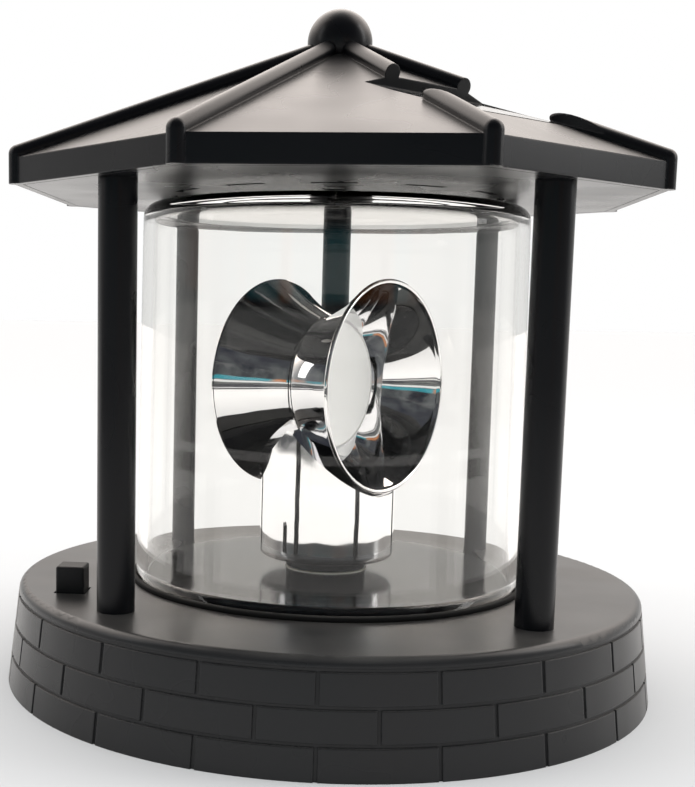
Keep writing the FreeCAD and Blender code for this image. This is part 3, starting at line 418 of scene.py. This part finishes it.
def circuit_board(name, colour):
    """Solder mask over copper tracks, which show as a slightly lighter, raised pattern."""
    made, tree, shader = new_finish(name)
    place = node(tree, "ShaderNodeTexCoord")
    tracks = node(tree, "ShaderNodeTexBrick", Scale=160.0, Mortar_Size=0.035)
    link(tree, place.outputs["Object"], tracks.inputs["Vector"])
    skin = use_group(tree, GRAIN)
    tone = blended(tree, tracks.outputs["Fac"], colour, tuple(c * 1.7 for c in colour))
    tone = blended(tree, skin.outputs["Drift"], tone, tuple(c * 1.2 for c in colour))
    link(tree, tone, shader.inputs["Base Color"])
    link(tree, ramp(tree, skin.outputs["Drift"], 0.3, 0.7, 0.28, 0.42), shader.inputs["Roughness"])
    raised(tree, shader, tracks.outputs["Fac"], 0.4, 0.1 * MM)
    return made


def make_finishes():
    """The finishes by material slot of the record, and one by node for the drum."""
    black = (0.0030, 0.0033, 0.0043)
    # edge colour: rubbed wear, and partly a painted edge highlight
    rubbed_and_highlit = (0.030, 0.031, 0.034)
    made = {
        "black_abs": moulded_plastic("black moulding", black, rubbed_and_highlit, 0.26, 0.21, grain=0.015,
                                     dust=0.05),
        "base_drum": moulded_plastic("brick drum moulding", (0.014, 0.0145, 0.0155), rubbed_and_highlit, 0.28, 0.24,
                                     grain=0.02, dust=0.14),
        "black_disc": moulded_plastic("polished black moulding", black, rubbed_and_highlit, 0.12, 0.4,
                                      grain=0.02, dust=0.05),
        "button_black": moulded_plastic("matt black button", black, rubbed_and_highlit, 0.5, 0.3,
                                        grain=0.25, dust=0.06),
        "switch_plastic": moulded_plastic("dark nylon", (0.03, 0.03, 0.03), rubbed_and_highlit, 0.55, 0.3,
                                          grain=0.2),
        "gasket": moulded_plastic("soft seal", (0.006, 0.006, 0.006), (0.02, 0.02, 0.02), 0.75,
                                  0.2, grain=0.3),
        "acetal": moulded_plastic("natural gear plastic", (0.76, 0.74, 0.68), (0.85, 0.84, 0.8),
                                  0.4, 0.4, dust=0.0),
        "bush": moulded_plastic("bush plastic", (0.62, 0.60, 0.54), (0.8, 0.78, 0.72), 0.45,
                                0.4, dust=0.0),
        "mast_plastic": moulded_plastic("white tube", (0.78, 0.78, 0.76), (0.9, 0.9, 0.88), 0.4,
                                        0.4, dust=0.0),
        "chip_black": moulded_plastic("chip epoxy", (0.012, 0.012, 0.012), rubbed_and_highlit, 0.6, 0.3,
                                      grain=0.4, dust=0.0),
        "capacitor_sleeve": moulded_plastic("shrink sleeve", (0.01, 0.015, 0.05), rubbed_and_highlit, 0.25,
                                            0.5, dust=0.0),
        "battery_wrap": moulded_plastic("cell sleeve", (0.012, 0.10, 0.05), (0.1, 0.2, 0.15),
                                        0.22, 0.5, dust=0.0),
        "clear": clear_moulding("clear cover plastic", (0.955, 0.952, 0.938), 0.0, 0.015, 1.3,
                                lets_light_in=True),
        "led": clear_moulding("lamp epoxy", (0.96, 0.97, 1.0), 0.02, 0.06, 1.5),
        "panel_glaze": clear_moulding("panel epoxy", (0.80, 0.84, 0.90), 0.03, 0.10, 1.55),
        "chrome": plated_chrome("plated reflector"),
        "lens_white": milky_diffuser("milky diffuser"),
        "screw_steel": drawn_metal("plated screw", (0.62, 0.62, 0.60), 0.3),
        "spring_steel": drawn_metal("spring wire", (0.66, 0.66, 0.66), 0.25),
        "motor_steel": drawn_metal("pressed can", (0.58, 0.58, 0.58), 0.32),
        "panel_back": circuit_board("panel board", (0.012, 0.045, 0.02)),
        "board_green": circuit_board("control board mask", (0.012, 0.075, 0.03)),
        "cells": silicon_cells("silicon cells"),
    }
    return made


FINISH = make_finishes()
SLOT_OF = {entry["node"]: entry["material_slot"] for entry in frame["record"]["subparts"]}


def finish_cad_nodes():
    """Every carried-over CAD piece gets the finish of its slot."""
    for name, piece in NODES.items():
        made = FINISH.get(name) or FINISH[SLOT_OF[name]]
        if piece.data.materials:
            for k in range(len(piece.data.materials)):
                piece.data.materials[k] = made
        else:
            piece.data.materials.append(made)


# ---- geometry node trees ------------------------------------------------------------------------
def geometry_tree(name, inputs):
    tree = bpy.data.node_groups.new(name, "GeometryNodeTree")
    for label, kind, value in inputs:
        socket = tree.interface.new_socket(label, in_out="INPUT", socket_type=kind)
        if value is not None:
            socket.default_value = value
    tree.interface.new_socket("Piece", in_out="OUTPUT", socket_type="NodeSocketGeometry")
    return tree, tree.nodes.new("NodeGroupInput"), tree.nodes.new("NodeGroupOutput")


def make_lathe_tree():
    """Turns a flat closed outline once round an upright axis."""
    tree, enter, leave = geometry_tree("lathe", [
        ("Outline", "NodeSocketGeometry", None),
        ("Segments", "NodeSocketInt", TURNING_SEGMENTS),
        ("Path Radius", "NodeSocketFloat", MM),
        ("Finish", "NodeSocketMaterial", None)])
    circle = node(tree, "GeometryNodeCurvePrimitiveCircle")
    outline = node(tree, "GeometryNodeMeshToCurve")
    sweep = node(tree, "GeometryNodeCurveToMesh")
    smooth = node(tree, "GeometryNodeSetShadeSmooth")
    real = node(tree, "GeometryNodeRealizeInstances")
    paint = node(tree, "GeometryNodeSetMaterial")
    link(tree, enter.outputs["Segments"], circle.inputs["Resolution"])
    link(tree, enter.outputs["Path Radius"], circle.inputs["Radius"])
    link(tree, enter.outputs["Outline"], outline.inputs[0])
    link(tree, circle.outputs["Curve"], sweep.inputs["Curve"])
    link(tree, outline.outputs[0], sweep.inputs["Profile Curve"])
    link(tree, sweep.outputs[0], smooth.inputs["Geometry"])
    link(tree, smooth.outputs[0], real.inputs[0])
    link(tree, real.outputs[0], paint.inputs["Geometry"])
    link(tree, enter.outputs["Finish"], paint.inputs["Material"])
    link(tree, paint.outputs[0], leave.inputs[0])
    return tree


def make_row_tree():
    """Copies of a small block in even rows: a count and a pitch each way."""
    tree, enter, leave = geometry_tree("even rows", [
        ("Start", "NodeSocketGeometry", None),
        ("Across", "NodeSocketInt", 4),
        ("Along", "NodeSocketInt", 4),
        ("Pitch Across", "NodeSocketFloat", MM),
        ("Pitch Along", "NodeSocketFloat", MM),
        ("Block", "NodeSocketVector", (MM, MM, MM)),
        ("Finish", "NodeSocketMaterial", None)])
    grid = node(tree, "GeometryNodeMeshGrid")
    cube = node(tree, "GeometryNodeMeshCube")
    spread = node(tree, "GeometryNodeInstanceOnPoints")
    real = node(tree, "GeometryNodeRealizeInstances")
    paint = node(tree, "GeometryNodeSetMaterial")
    for side, count, pitch in (("Size X", "Across", "Pitch Across"), ("Size Y", "Along", "Pitch Along")):
        fewer = math_node(tree, "SUBTRACT", enter.outputs[count], 1.0)
        link(tree, math_node(tree, "MULTIPLY", fewer, enter.outputs[pitch]), grid.inputs[side])
    link(tree, enter.outputs["Across"], grid.inputs["Vertices X"])
    link(tree, enter.outputs["Along"], grid.inputs["Vertices Y"])
    link(tree, enter.outputs["Block"], cube.inputs["Size"])
    link(tree, grid.outputs["Mesh"], spread.inputs["Points"])
    link(tree, cube.outputs["Mesh"], spread.inputs["Instance"])
    link(tree, spread.outputs[0], real.inputs[0])
    link(tree, real.outputs[0], paint.inputs["Geometry"])
    link(tree, enter.outputs["Finish"], paint.inputs["Material"])
    link(tree, paint.outputs[0], leave.inputs[0])
    return tree


def make_coil_tree():
    """A round wire wound up an even helix."""
    tree, enter, leave = geometry_tree("wound wire", [
        ("Start", "NodeSocketGeometry", None),
        ("Coils", "NodeSocketFloat", SPRING_COILS),
        ("Coil Radius", "NodeSocketFloat", MM),
        ("Rise", "NodeSocketFloat", MM),
        ("Wire Radius", "NodeSocketFloat", SPRING_WIRE_R),
        ("Finish", "NodeSocketMaterial", None)])
    helix = node(tree, "GeometryNodeCurveSpiral", Resolution=48)
    section = node(tree, "GeometryNodeCurvePrimitiveCircle", Resolution=16)
    sweep = node(tree, "GeometryNodeCurveToMesh", Fill_Caps=True)
    real = node(tree, "GeometryNodeRealizeInstances")
    paint = node(tree, "GeometryNodeSetMaterial")
    link(tree, enter.outputs["Coils"], helix.inputs["Rotations"])
    link(tree, enter.outputs["Coil Radius"], helix.inputs["Start Radius"])
    link(tree, enter.outputs["Coil Radius"], helix.inputs["End Radius"])
    link(tree, enter.outputs["Rise"], helix.inputs["Height"])
    link(tree, enter.outputs["Wire Radius"], section.inputs["Radius"])
    link(tree, helix.outputs["Curve"], sweep.inputs["Curve"])
    link(tree, section.outputs["Curve"], sweep.inputs["Profile Curve"])
    link(tree, sweep.outputs[0], real.inputs[0])
    link(tree, real.outputs[0], paint.inputs["Geometry"])
    link(tree, enter.outputs["Finish"], paint.inputs["Material"])
    link(tree, paint.outputs[0], leave.inputs[0])
    return tree


LATHE = make_lathe_tree()
ROWS = make_row_tree()
COIL = make_coil_tree()


def run_tree(name, tree, start, **values):
    """Runs a geometry tree on a start mesh and gives back the plain mesh as a new object."""
    source = bpy.data.objects.new(name + "_start", start)
    bpy.context.scene.collection.objects.link(source)
    modifier = source.modifiers.new("made", "NODES")
    modifier.node_group = tree
    for item in tree.interface.items_tree:
        key = item.name.replace(" ", "_")
        if item.item_type == "SOCKET" and item.in_out == "INPUT" and key in values:
            modifier[item.identifier] = values[key]
    graph = bpy.context.evaluated_depsgraph_get()
    mesh = bpy.data.meshes.new_from_object(source.evaluated_get(graph), depsgraph=graph)
    mesh.name = name
    bpy.data.objects.remove(source)
    piece = bpy.data.objects.new(name, mesh)
    bpy.context.scene.collection.objects.link(piece)
    return piece


def facing_out(mesh):
    """Turns a closed mesh's faces outward if it came out inside out."""
    shape = bmesh.new()
    shape.from_mesh(mesh)
    if shape.calc_volume(signed=True) < 0:
        bmesh.ops.reverse_faces(shape, faces=shape.faces)
        shape.to_mesh(mesh)
    shape.free()


def turned(name, outline, finish, segments=TURNING_SEGMENTS):
    """A turned piece from its closed outline of (radius, height) points."""
    start = bpy.data.meshes.new(name + "_outline")
    count = len(outline)
    points = [(r - MM, -z, 0) for r, z in outline]
    start.from_pydata(points, [(k, (k + 1) % count) for k in range(count)], [])
    piece = run_tree(name, LATHE, start, Segments=segments, Path_Radius=MM, Finish=finish)
    facing_out(piece.data)
    return piece


def arc(centre, radius, start_deg, end_deg, steps):
    """Points of an arc in the (radius, height) plane."""
    points = []
    for k in range(steps + 1):
        a = math.radians(start_deg + (end_deg - start_deg) * k / steps)
        points.append((centre[0] + radius * math.cos(a), centre[1] + radius * math.sin(a)))
    return points


def ride_slot(piece, body):
    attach(piece, body)


# ---- clear cover ----------------------------------------------------------------------------------
def make_clear_cover():
    """The clear cup over the reflector, with a rounded shoulder, foot and a moulding gate on top."""
    lo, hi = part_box("clear_cover")
    foot, top = lo.z, hi.z
    outer_foot = hi.x
    outer_top = outer_foot - GLASS_DRAFT
    shoulder = GLASS_SHOULDER
    inner_shoulder = shoulder - GLASS_WALL * 0.5
    small, axis = GLASS_FOOT_EDGE, AXIS_GAP
    outline = [(outer_foot - GLASS_WALL + small, foot), (outer_foot - small, foot)]
    outline += arc((outer_foot - small, foot + small), small, -90, 0, 4)[1:]
    steps = 24
    for k in range(1, steps):
        t = k / steps
        height = foot + small + (top - shoulder - foot - small) * t
        outline.append((outer_foot + (outer_top - outer_foot) * t, height))
    outline += arc((outer_top - shoulder, top - shoulder), shoulder, 0, 90, 10)
    for share in (0.8, 0.5, 0.2, 0.05, 0.005):
        outline.append(((outer_top - shoulder) * share, top))
    outline += [(axis, top), (axis, top - GLASS_WALL)]
    inner_top = outer_top - GLASS_WALL
    for share in (0.005, 0.05, 0.2, 0.5, 0.8):
        outline.append(((inner_top - inner_shoulder) * share, top - GLASS_WALL))
    turn = arc((inner_top - inner_shoulder, top - GLASS_WALL - inner_shoulder), inner_shoulder, 90, 0, 8)
    outline += turn
    inner_foot = outer_foot - GLASS_WALL
    for k in range(1, steps):
        t = k / steps
        height = turn[-1][1] + (foot + small - turn[-1][1]) * t
        outline.append((inner_top + (inner_foot - inner_top) * t, height))
    outline += [(inner_foot, foot + small)]
    piece = turned("clear_cover_turned", outline, FINISH["clear"], 256)
    ride_slot(piece, "lamp")
    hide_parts("clear_cover")

    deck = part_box("base_drum")[1].z
    bead_in = outer_foot + 0.05 * MM
    bead = [(bead_in, deck), (bead_in + SEAL_BEAD, deck)]
    bead += arc((bead_in + SEAL_BEAD * 0.45, deck + SEAL_BEAD * 0.6), SEAL_BEAD * 0.45, 0, 90, 6)
    bead += [(bead_in, deck + SEAL_BEAD * 1.05)]
    seal = turned("cover_seal_bead", bead, FINISH["gasket"], 192)
    ride_slot(seal, "lamp")

    gate_r = 1.3 * MM
    gate_h = 0.35 * MM
    gate = [(axis, top + 0.001 * MM), (gate_r, top + 0.001 * MM), (gate_r, top + gate_h * 0.7)]
    gate += arc((gate_r - gate_h * 0.3, top + gate_h * 0.7), gate_h * 0.3, 0, 90, 4)
    gate += [(gate_r * 0.5, top + gate_h), (axis, top + gate_h * 0.8)]
    nub = turned("cover_gate_mark", gate, FINISH["led"], 48)
    ride_slot(nub, "lamp")


# ---- reflector --------------------------------------------------------------------------------------
def horn_frame(side):
    """Turns a piece's upright axis onto the horns' level axis, for the front (1) or rear (-1) horn."""
    lo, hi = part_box("horn_front")
    axis = at(side, HORN_AZ)
    turn = Vector((0, 0, 1)).rotation_difference(axis).to_matrix().to_4x4()
    return Matrix.Translation((0, 0, (lo.z + hi.z) / 2)) @ turn


def horn_sizes():
    """The horns' rim radius and half length, from the CAD horn's box."""
    lo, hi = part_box("horn_front")
    rim = (hi.z - lo.z) / 2
    a = math.radians(HORN_AZ)
    half = (hi.x - rim * math.cos(a)) / math.sin(a)
    return rim, half


def flare_points(rim, half, inset, steps):
    """The curve from the neck to the rim, moved inward by an inset, as (radius, height) points."""
    x0, y0 = HORN_NECK_HALF, HORN_NECK_R - inset
    x1, y1 = half, rim - inset
    mx = (x0 + x1) / 2 + HORN_SAG * 0.5
    my = (y0 + y1) / 2 - HORN_SAG
    points = []
    for k in range(steps + 1):
        t = k / steps
        a, b, c = (1 - t) * (1 - 2 * t), 4 * t * (1 - t), t * (2 * t - 1)
        points.append((a * y0 + b * my + c * y1, a * x0 + b * mx + c * x1))
    return points


def make_horns():
    """Two chromed horns, back to back, each with a rolled rim and a milky disc at its neck."""
    rim, half = horn_sizes()
    lip = HORN_WALL / 2
    steps = 28
    outer = flare_points(rim, half - lip, 0.0, steps)
    inner = flare_points(rim, half - lip, HORN_WALL, steps)
    outline = [(HORN_NECK_R - HORN_WALL, 0.0), (HORN_NECK_R, 0.0)]
    outline += outer
    outline += arc((rim - lip, half - lip), lip, 0, 180, 8)[1:-1]
    outline += list(reversed(inner))
    lens_r = HORN_NECK_R - HORN_WALL - 0.02 * MM
    lens_face, axis = LENS_FACE, AXIS_GAP
    lens = [(axis, lens_face - 0.5 * MM), (lens_r, lens_face - 0.5 * MM), (lens_r, lens_face - 0.1 * MM)]
    lens += [(lens_r - 0.08 * MM, lens_face - 0.02 * MM), (lens_r - 0.3 * MM, lens_face)]
    for share in (0.75, 0.5, 0.25, 0.05, 0.01):
        lens.append((lens_r * share, lens_face))
    lens.append((axis, lens_face))
    for side, name, disc in ((1, "horn_front", "lens_front"), (-1, "horn_rear", "lens_rear")):
        place = horn_frame(side)
        horn = turned(name + "_turned", outline, FINISH["chrome"], 256)
        horn.data.transform(place)
        ride_slot(horn, "rotor")
        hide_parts(name)
        face = turned(disc + "_turned", lens, FINISH["lens_white"], 128)
        face.data.transform(place)
        ride_slot(face, "rotor")
        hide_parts(disc)


# ---- solar panel's conductors -----------------------------------------------------------------------
def panel_axes():
    """The panel's centre on top of its cells and its axes: along the slope, across it, and up."""
    lo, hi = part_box("solar_cells")
    mesh = NODES["solar_cells"].data
    normal = max((f.normal for f in mesh.polygons if f.normal.z > 0.5), key=lambda n: n.z).copy()
    across = at(1, 135)
    along = across.cross(normal).normalized()
    if along.z > 0:
        along = -along
    corners = [v.co for v in mesh.vertices]
    level = max(c.dot(normal) for c in corners)
    mid_along = (max(c.dot(along) for c in corners) + min(c.dot(along) for c in corners)) / 2
    mid_across = (max(c.dot(across) for c in corners) + min(c.dot(across) for c in corners)) / 2
    length = max(c.dot(along) for c in corners) - min(c.dot(along) for c in corners)
    width = max(c.dot(across) for c in corners) - min(c.dot(across) for c in corners)
    centre = along * mid_along + across * mid_across + normal * level
    return centre, along, across, normal, length, width


def make_cell_fingers():
    """Fine silver lines across the cells, and the wider lines that gather their current."""
    centre, along, across, normal, length, width = panel_axes()
    turn = Matrix((across, -along, normal)).transposed().to_4x4()
    place = Matrix.Translation(centre + normal * SILVER_T / 2) @ turn
    empty = bpy.data.meshes.new("conductor_start")
    rows = int(length / FINGER_PITCH)
    fingers = run_tree("cell_fingers", ROWS, empty, Across=1, Along=rows, Pitch_Across=MM,
                       Pitch_Along=FINGER_PITCH, Block=(width * 0.985, FINGER_W, SILVER_T),
                       Finish=FINISH["spring_steel"])
    buses = run_tree("cell_bus_lines", ROWS, empty, Across=4, Along=1, Pitch_Across=width / 4,
                     Pitch_Along=MM, Block=(BUS_W, length * 0.98, SILVER_T * 1.4),
                     Finish=FINISH["spring_steel"])
    for piece in (fingers, buses):
        piece.data.transform(place)
        ride_slot(piece, "lamp")


# ---- button spring ----------------------------------------------------------------------------------
def make_button_spring():
    """The return spring under the button's rim."""
    lo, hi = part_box("button_spring")
    height = hi.z - lo.z
    empty = bpy.data.meshes.new("spring_start")
    spring = run_tree("button_spring_wound", COIL, empty, Coils=SPRING_COILS,
                      Coil_Radius=(hi.x - lo.x) / 2 - SPRING_WIRE_R, Rise=height - 2 * SPRING_WIRE_R,
                      Wire_Radius=SPRING_WIRE_R, Finish=FINISH["spring_steel"])
    for face in spring.data.polygons:
        face.use_smooth = True
    foot = ((lo.x + hi.x) / 2, (lo.y + hi.y) / 2, lo.z + SPRING_WIRE_R)
    spring.data.transform(Matrix.Translation(foot))
    facing_out(spring.data)
    ride_slot(spring, "lamp")
    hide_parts("button_spring")
    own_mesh(spring)


# ---- room -------------------------------------------------------------------------------------------
def make_floor():
    """A wide pale floor. Mirrors see it lighter, and see it end as a tabletop does, in front and at the
    sides, with a bright rail and dark clutter beyond: painted reflections, seen only by mirrors.
    """
    half = FLOOR_HALF
    mesh = bpy.data.meshes.new("floor")
    corners = [(-half, -half, 0), (half, -half, 0), (half, half, 0), (-half, half, 0)]
    mesh.from_pydata(corners, [], [(0, 1, 2, 3)])
    floor = bpy.data.objects.new("floor", mesh)
    floor.location.z = -0.02 * MM
    bpy.context.scene.collection.objects.link(floor)
    made, tree, shader = new_finish("pale floor")
    shader.inputs["Roughness"].default_value = 0.9
    shader.inputs["Specular IOR Level"].default_value = 0.0
    place = node(tree, "ShaderNodeTexCoord")
    split = node(tree, "ShaderNodeSeparateXYZ")
    reach = tree.nodes.new("ShaderNodeVectorMath")
    reach.operation = "LENGTH"
    link(tree, place.outputs["Object"], split.inputs["Vector"])
    link(tree, place.outputs["Object"], reach.inputs[0])
    far = reach.outputs["Value"]
    # painted reflection: beyond this edge mirrors see dark clutter and a bright rail on the floor
    edge = ramp(tree, far, PAINTED_TABLE_EDGE, PAINTED_TABLE_EDGE + 0.015, 0.0, 1.0)
    painted_rail_line = math_node(tree, "MULTIPLY", ramp(tree, far, PAINTED_RAIL, PAINTED_RAIL + 0.01, 0.0, 1.0),
                     ramp(tree, far, PAINTED_RAIL + 0.06, PAINTED_RAIL + 0.07, 1.0, 0.0))
    in_front = ramp(tree, split.outputs["Y"], 0.10, 0.0, 0.0, 1.0)
    rays = node(tree, "ShaderNodeLightPath")
    mirrored = math_node(tree, "GREATER_THAN", rays.outputs["Glossy Depth"], 0.5)
    painted_reflection_mask = math_node(tree, "MULTIPLY", math_node(tree, "MULTIPLY", edge, in_front), mirrored)
    patches = node(tree, "ShaderNodeTexNoise", Scale=2.2, Detail=3.0)
    link(tree, place.outputs["Object"], patches.inputs["Vector"])
    clutter = blended(tree, ramp(tree, patches.outputs["Fac"], 0.42, 0.60, 0.0, 1.0),
                        (0.05, 0.052, 0.06), (0.19, 0.20, 0.19))
    clutter = blended(tree, painted_rail_line, clutter, (0.93, 0.93, 0.925))
    # painted reflection: mirrors see the floor lighter than the camera does
    painted_mirror_tone = blended(tree, mirrored, (0.735, 0.748, 0.758), (0.88, 0.88, 0.875))
    link(tree, blended(tree, painted_reflection_mask, painted_mirror_tone, clutter), shader.inputs["Base Color"])
    floor.data.materials.append(made)


def make_world():
    """A white room seen directly. Mirrors see its window wall behind and its dim, cluttered front."""
    world = bpy.data.worlds.new("white room")
    bpy.context.scene.world = world
    world.use_nodes = True
    tree = world.node_tree
    tree.nodes.clear()
    leave = node(tree, "ShaderNodeOutputWorld")
    place = node(tree, "ShaderNodeTexCoord")
    split = node(tree, "ShaderNodeSeparateXYZ")
    link(tree, place.outputs["Generated"], split.inputs["Vector"])
    east, north, up = split.outputs["X"], split.outputs["Y"], split.outputs["Z"]

    # the clutter in front: upright shapes, a bright sill line, and a thin coloured band above it
    squeeze = node(tree, "ShaderNodeMapping")
    squeeze.inputs["Scale"].default_value = (1.0, 1.0, 0.25)
    link(tree, place.outputs["Generated"], squeeze.inputs["Vector"])
    clutter = node(tree, "ShaderNodeTexNoise", Scale=5.0, Detail=3.0, Roughness=0.6)
    link(tree, squeeze.outputs["Vector"], clutter.inputs["Vector"])
    shapes = ramp(tree, clutter.outputs["Fac"], 0.40, 0.62, 0.0, 1.0)
    front = blended(tree, shapes, (0.020, 0.022, 0.032), (0.15, 0.16, 0.16))
    hues = node(tree, "ShaderNodeTexNoise", Scale=2.6, Detail=1.0)
    link(tree, squeeze.outputs["Vector"], hues.inputs["Vector"])
    warm = ramp(tree, hues.outputs["Fac"], 0.46, 0.54, 0.0, 1.0)
    coloured = blended(tree, warm, (0.05, 0.42, 0.50), (0.75, 0.28, 0.09))
    in_band = math_node(tree, "MULTIPLY", ramp(tree, up, 0.030, 0.036, 0.0, 1.0),
                        ramp(tree, up, 0.085, 0.10, 1.0, 0.0))
    front = blended(tree, math_node(tree, "MULTIPLY", in_band, 0.75), front, coloured)
    front = blended(tree, ramp(tree, up, 0.022, 0.028, 1.0, 0.0), front, (0.95, 0.95, 0.93))
    dimmed = ramp(tree, up, 0.25, 0.6, 0.0, 1.0)
    front = blended(tree, dimmed, front, (0.045, 0.048, 0.060))

    # the wall behind: white, and much brighter from well above the horizon
    wall = ramp(tree, up, 0.16, 0.36, 0.0, 1.0)
    high = ramp(tree, up, 0.36, 0.55, 0.0, 1.0)
    behind = blended(tree, wall, (0.80, 0.80, 0.79), (1.75, 1.62, 1.52))
    behind = blended(tree, high, behind, (3.5, 3.2, 3.0))
    behind = blended(tree, ramp(tree, up, 0.85, 0.97, 0.0, 1.0), behind, (0.8, 0.8, 0.8))

    # the sides lie between the two, the right one brighter
    turned_back = ramp(tree, north, -0.15, 0.25, 0.0, 1.0)
    side = math_node(tree, "MULTIPLY", ramp(tree, east, 0.72, 0.9, 0.0, 1.0), 0.8)
    side_left = math_node(tree, "MULTIPLY", ramp(tree, east, -0.80, -0.95, 0.0, 1.0), 0.5)
    sides = math_node(tree, "ADD", side, side_left, clamp=True)
    room = blended(tree, sides, front, (0.40, 0.41, 0.42))
    room = blended(tree, turned_back, room, behind)

    seen = node(tree, "ShaderNodeBackground", Color=(1.0, 1.0, 1.0, 1.0), Strength=1.0)
    even = node(tree, "ShaderNodeBackground", Color=(1.0, 1.0, 1.0, 1.0), Strength=1.08)
    mirrored = node(tree, "ShaderNodeBackground")
    link(tree, room, mirrored.inputs["Color"])
    rays = node(tree, "ShaderNodeLightPath")
    lit = node(tree, "ShaderNodeMixShader")
    link(tree, rays.outputs["Is Diffuse Ray"], lit.inputs["Fac"])
    link(tree, mirrored.outputs[0], lit.inputs[1])
    link(tree, even.outputs[0], lit.inputs[2])
    unmirrored = math_node(tree, "LESS_THAN", rays.outputs["Glossy Depth"], 0.5)
    through = math_node(tree, "MULTIPLY", rays.outputs["Is Transmission Ray"], unmirrored)
    direct = math_node(tree, "MAXIMUM", rays.outputs["Is Camera Ray"], through)
    mix = node(tree, "ShaderNodeMixShader")
    link(tree, direct, mix.inputs["Fac"])
    link(tree, lit.outputs[0], mix.inputs[1])
    link(tree, seen.outputs[0], mix.inputs[2])
    link(tree, mix.outputs[0], leave.inputs["Surface"])


def make_lamp(name, place, target, size, power, colour=(1.0, 1.0, 1.0)):
    """A soft square studio lamp that looks at a point."""
    data = bpy.data.lights.new(name, "AREA")
    data.shape = "RECTANGLE"
    data.size, data.size_y = size
    data.energy = power
    data.color = colour
    lamp = bpy.data.objects.new(name, data)
    bpy.context.scene.collection.objects.link(lamp)
    aim = (target - place).to_track_quat("-Z", "Y").to_matrix().to_4x4()
    lamp.matrix_world = Matrix.Translation(place) @ aim


def make_lamps():
    middle = Vector((0, 0, 0.06))
    make_lamp("left_softbox", Vector((-0.6, -0.15, 0.40)), middle, (0.12, 0.5), 0.45)
    make_lamp("right_softbox", Vector((0.6, 0.05, 0.4)), middle, (0.12, 0.5), 0.8)


make_camera()
make_floor()
make_world()
make_lamps()
bpy.context.scene.view_settings.view_transform = "Standard"
finish_cad_nodes()
make_clear_cover()
make_horns()
make_cell_fingers()
make_button_spring()
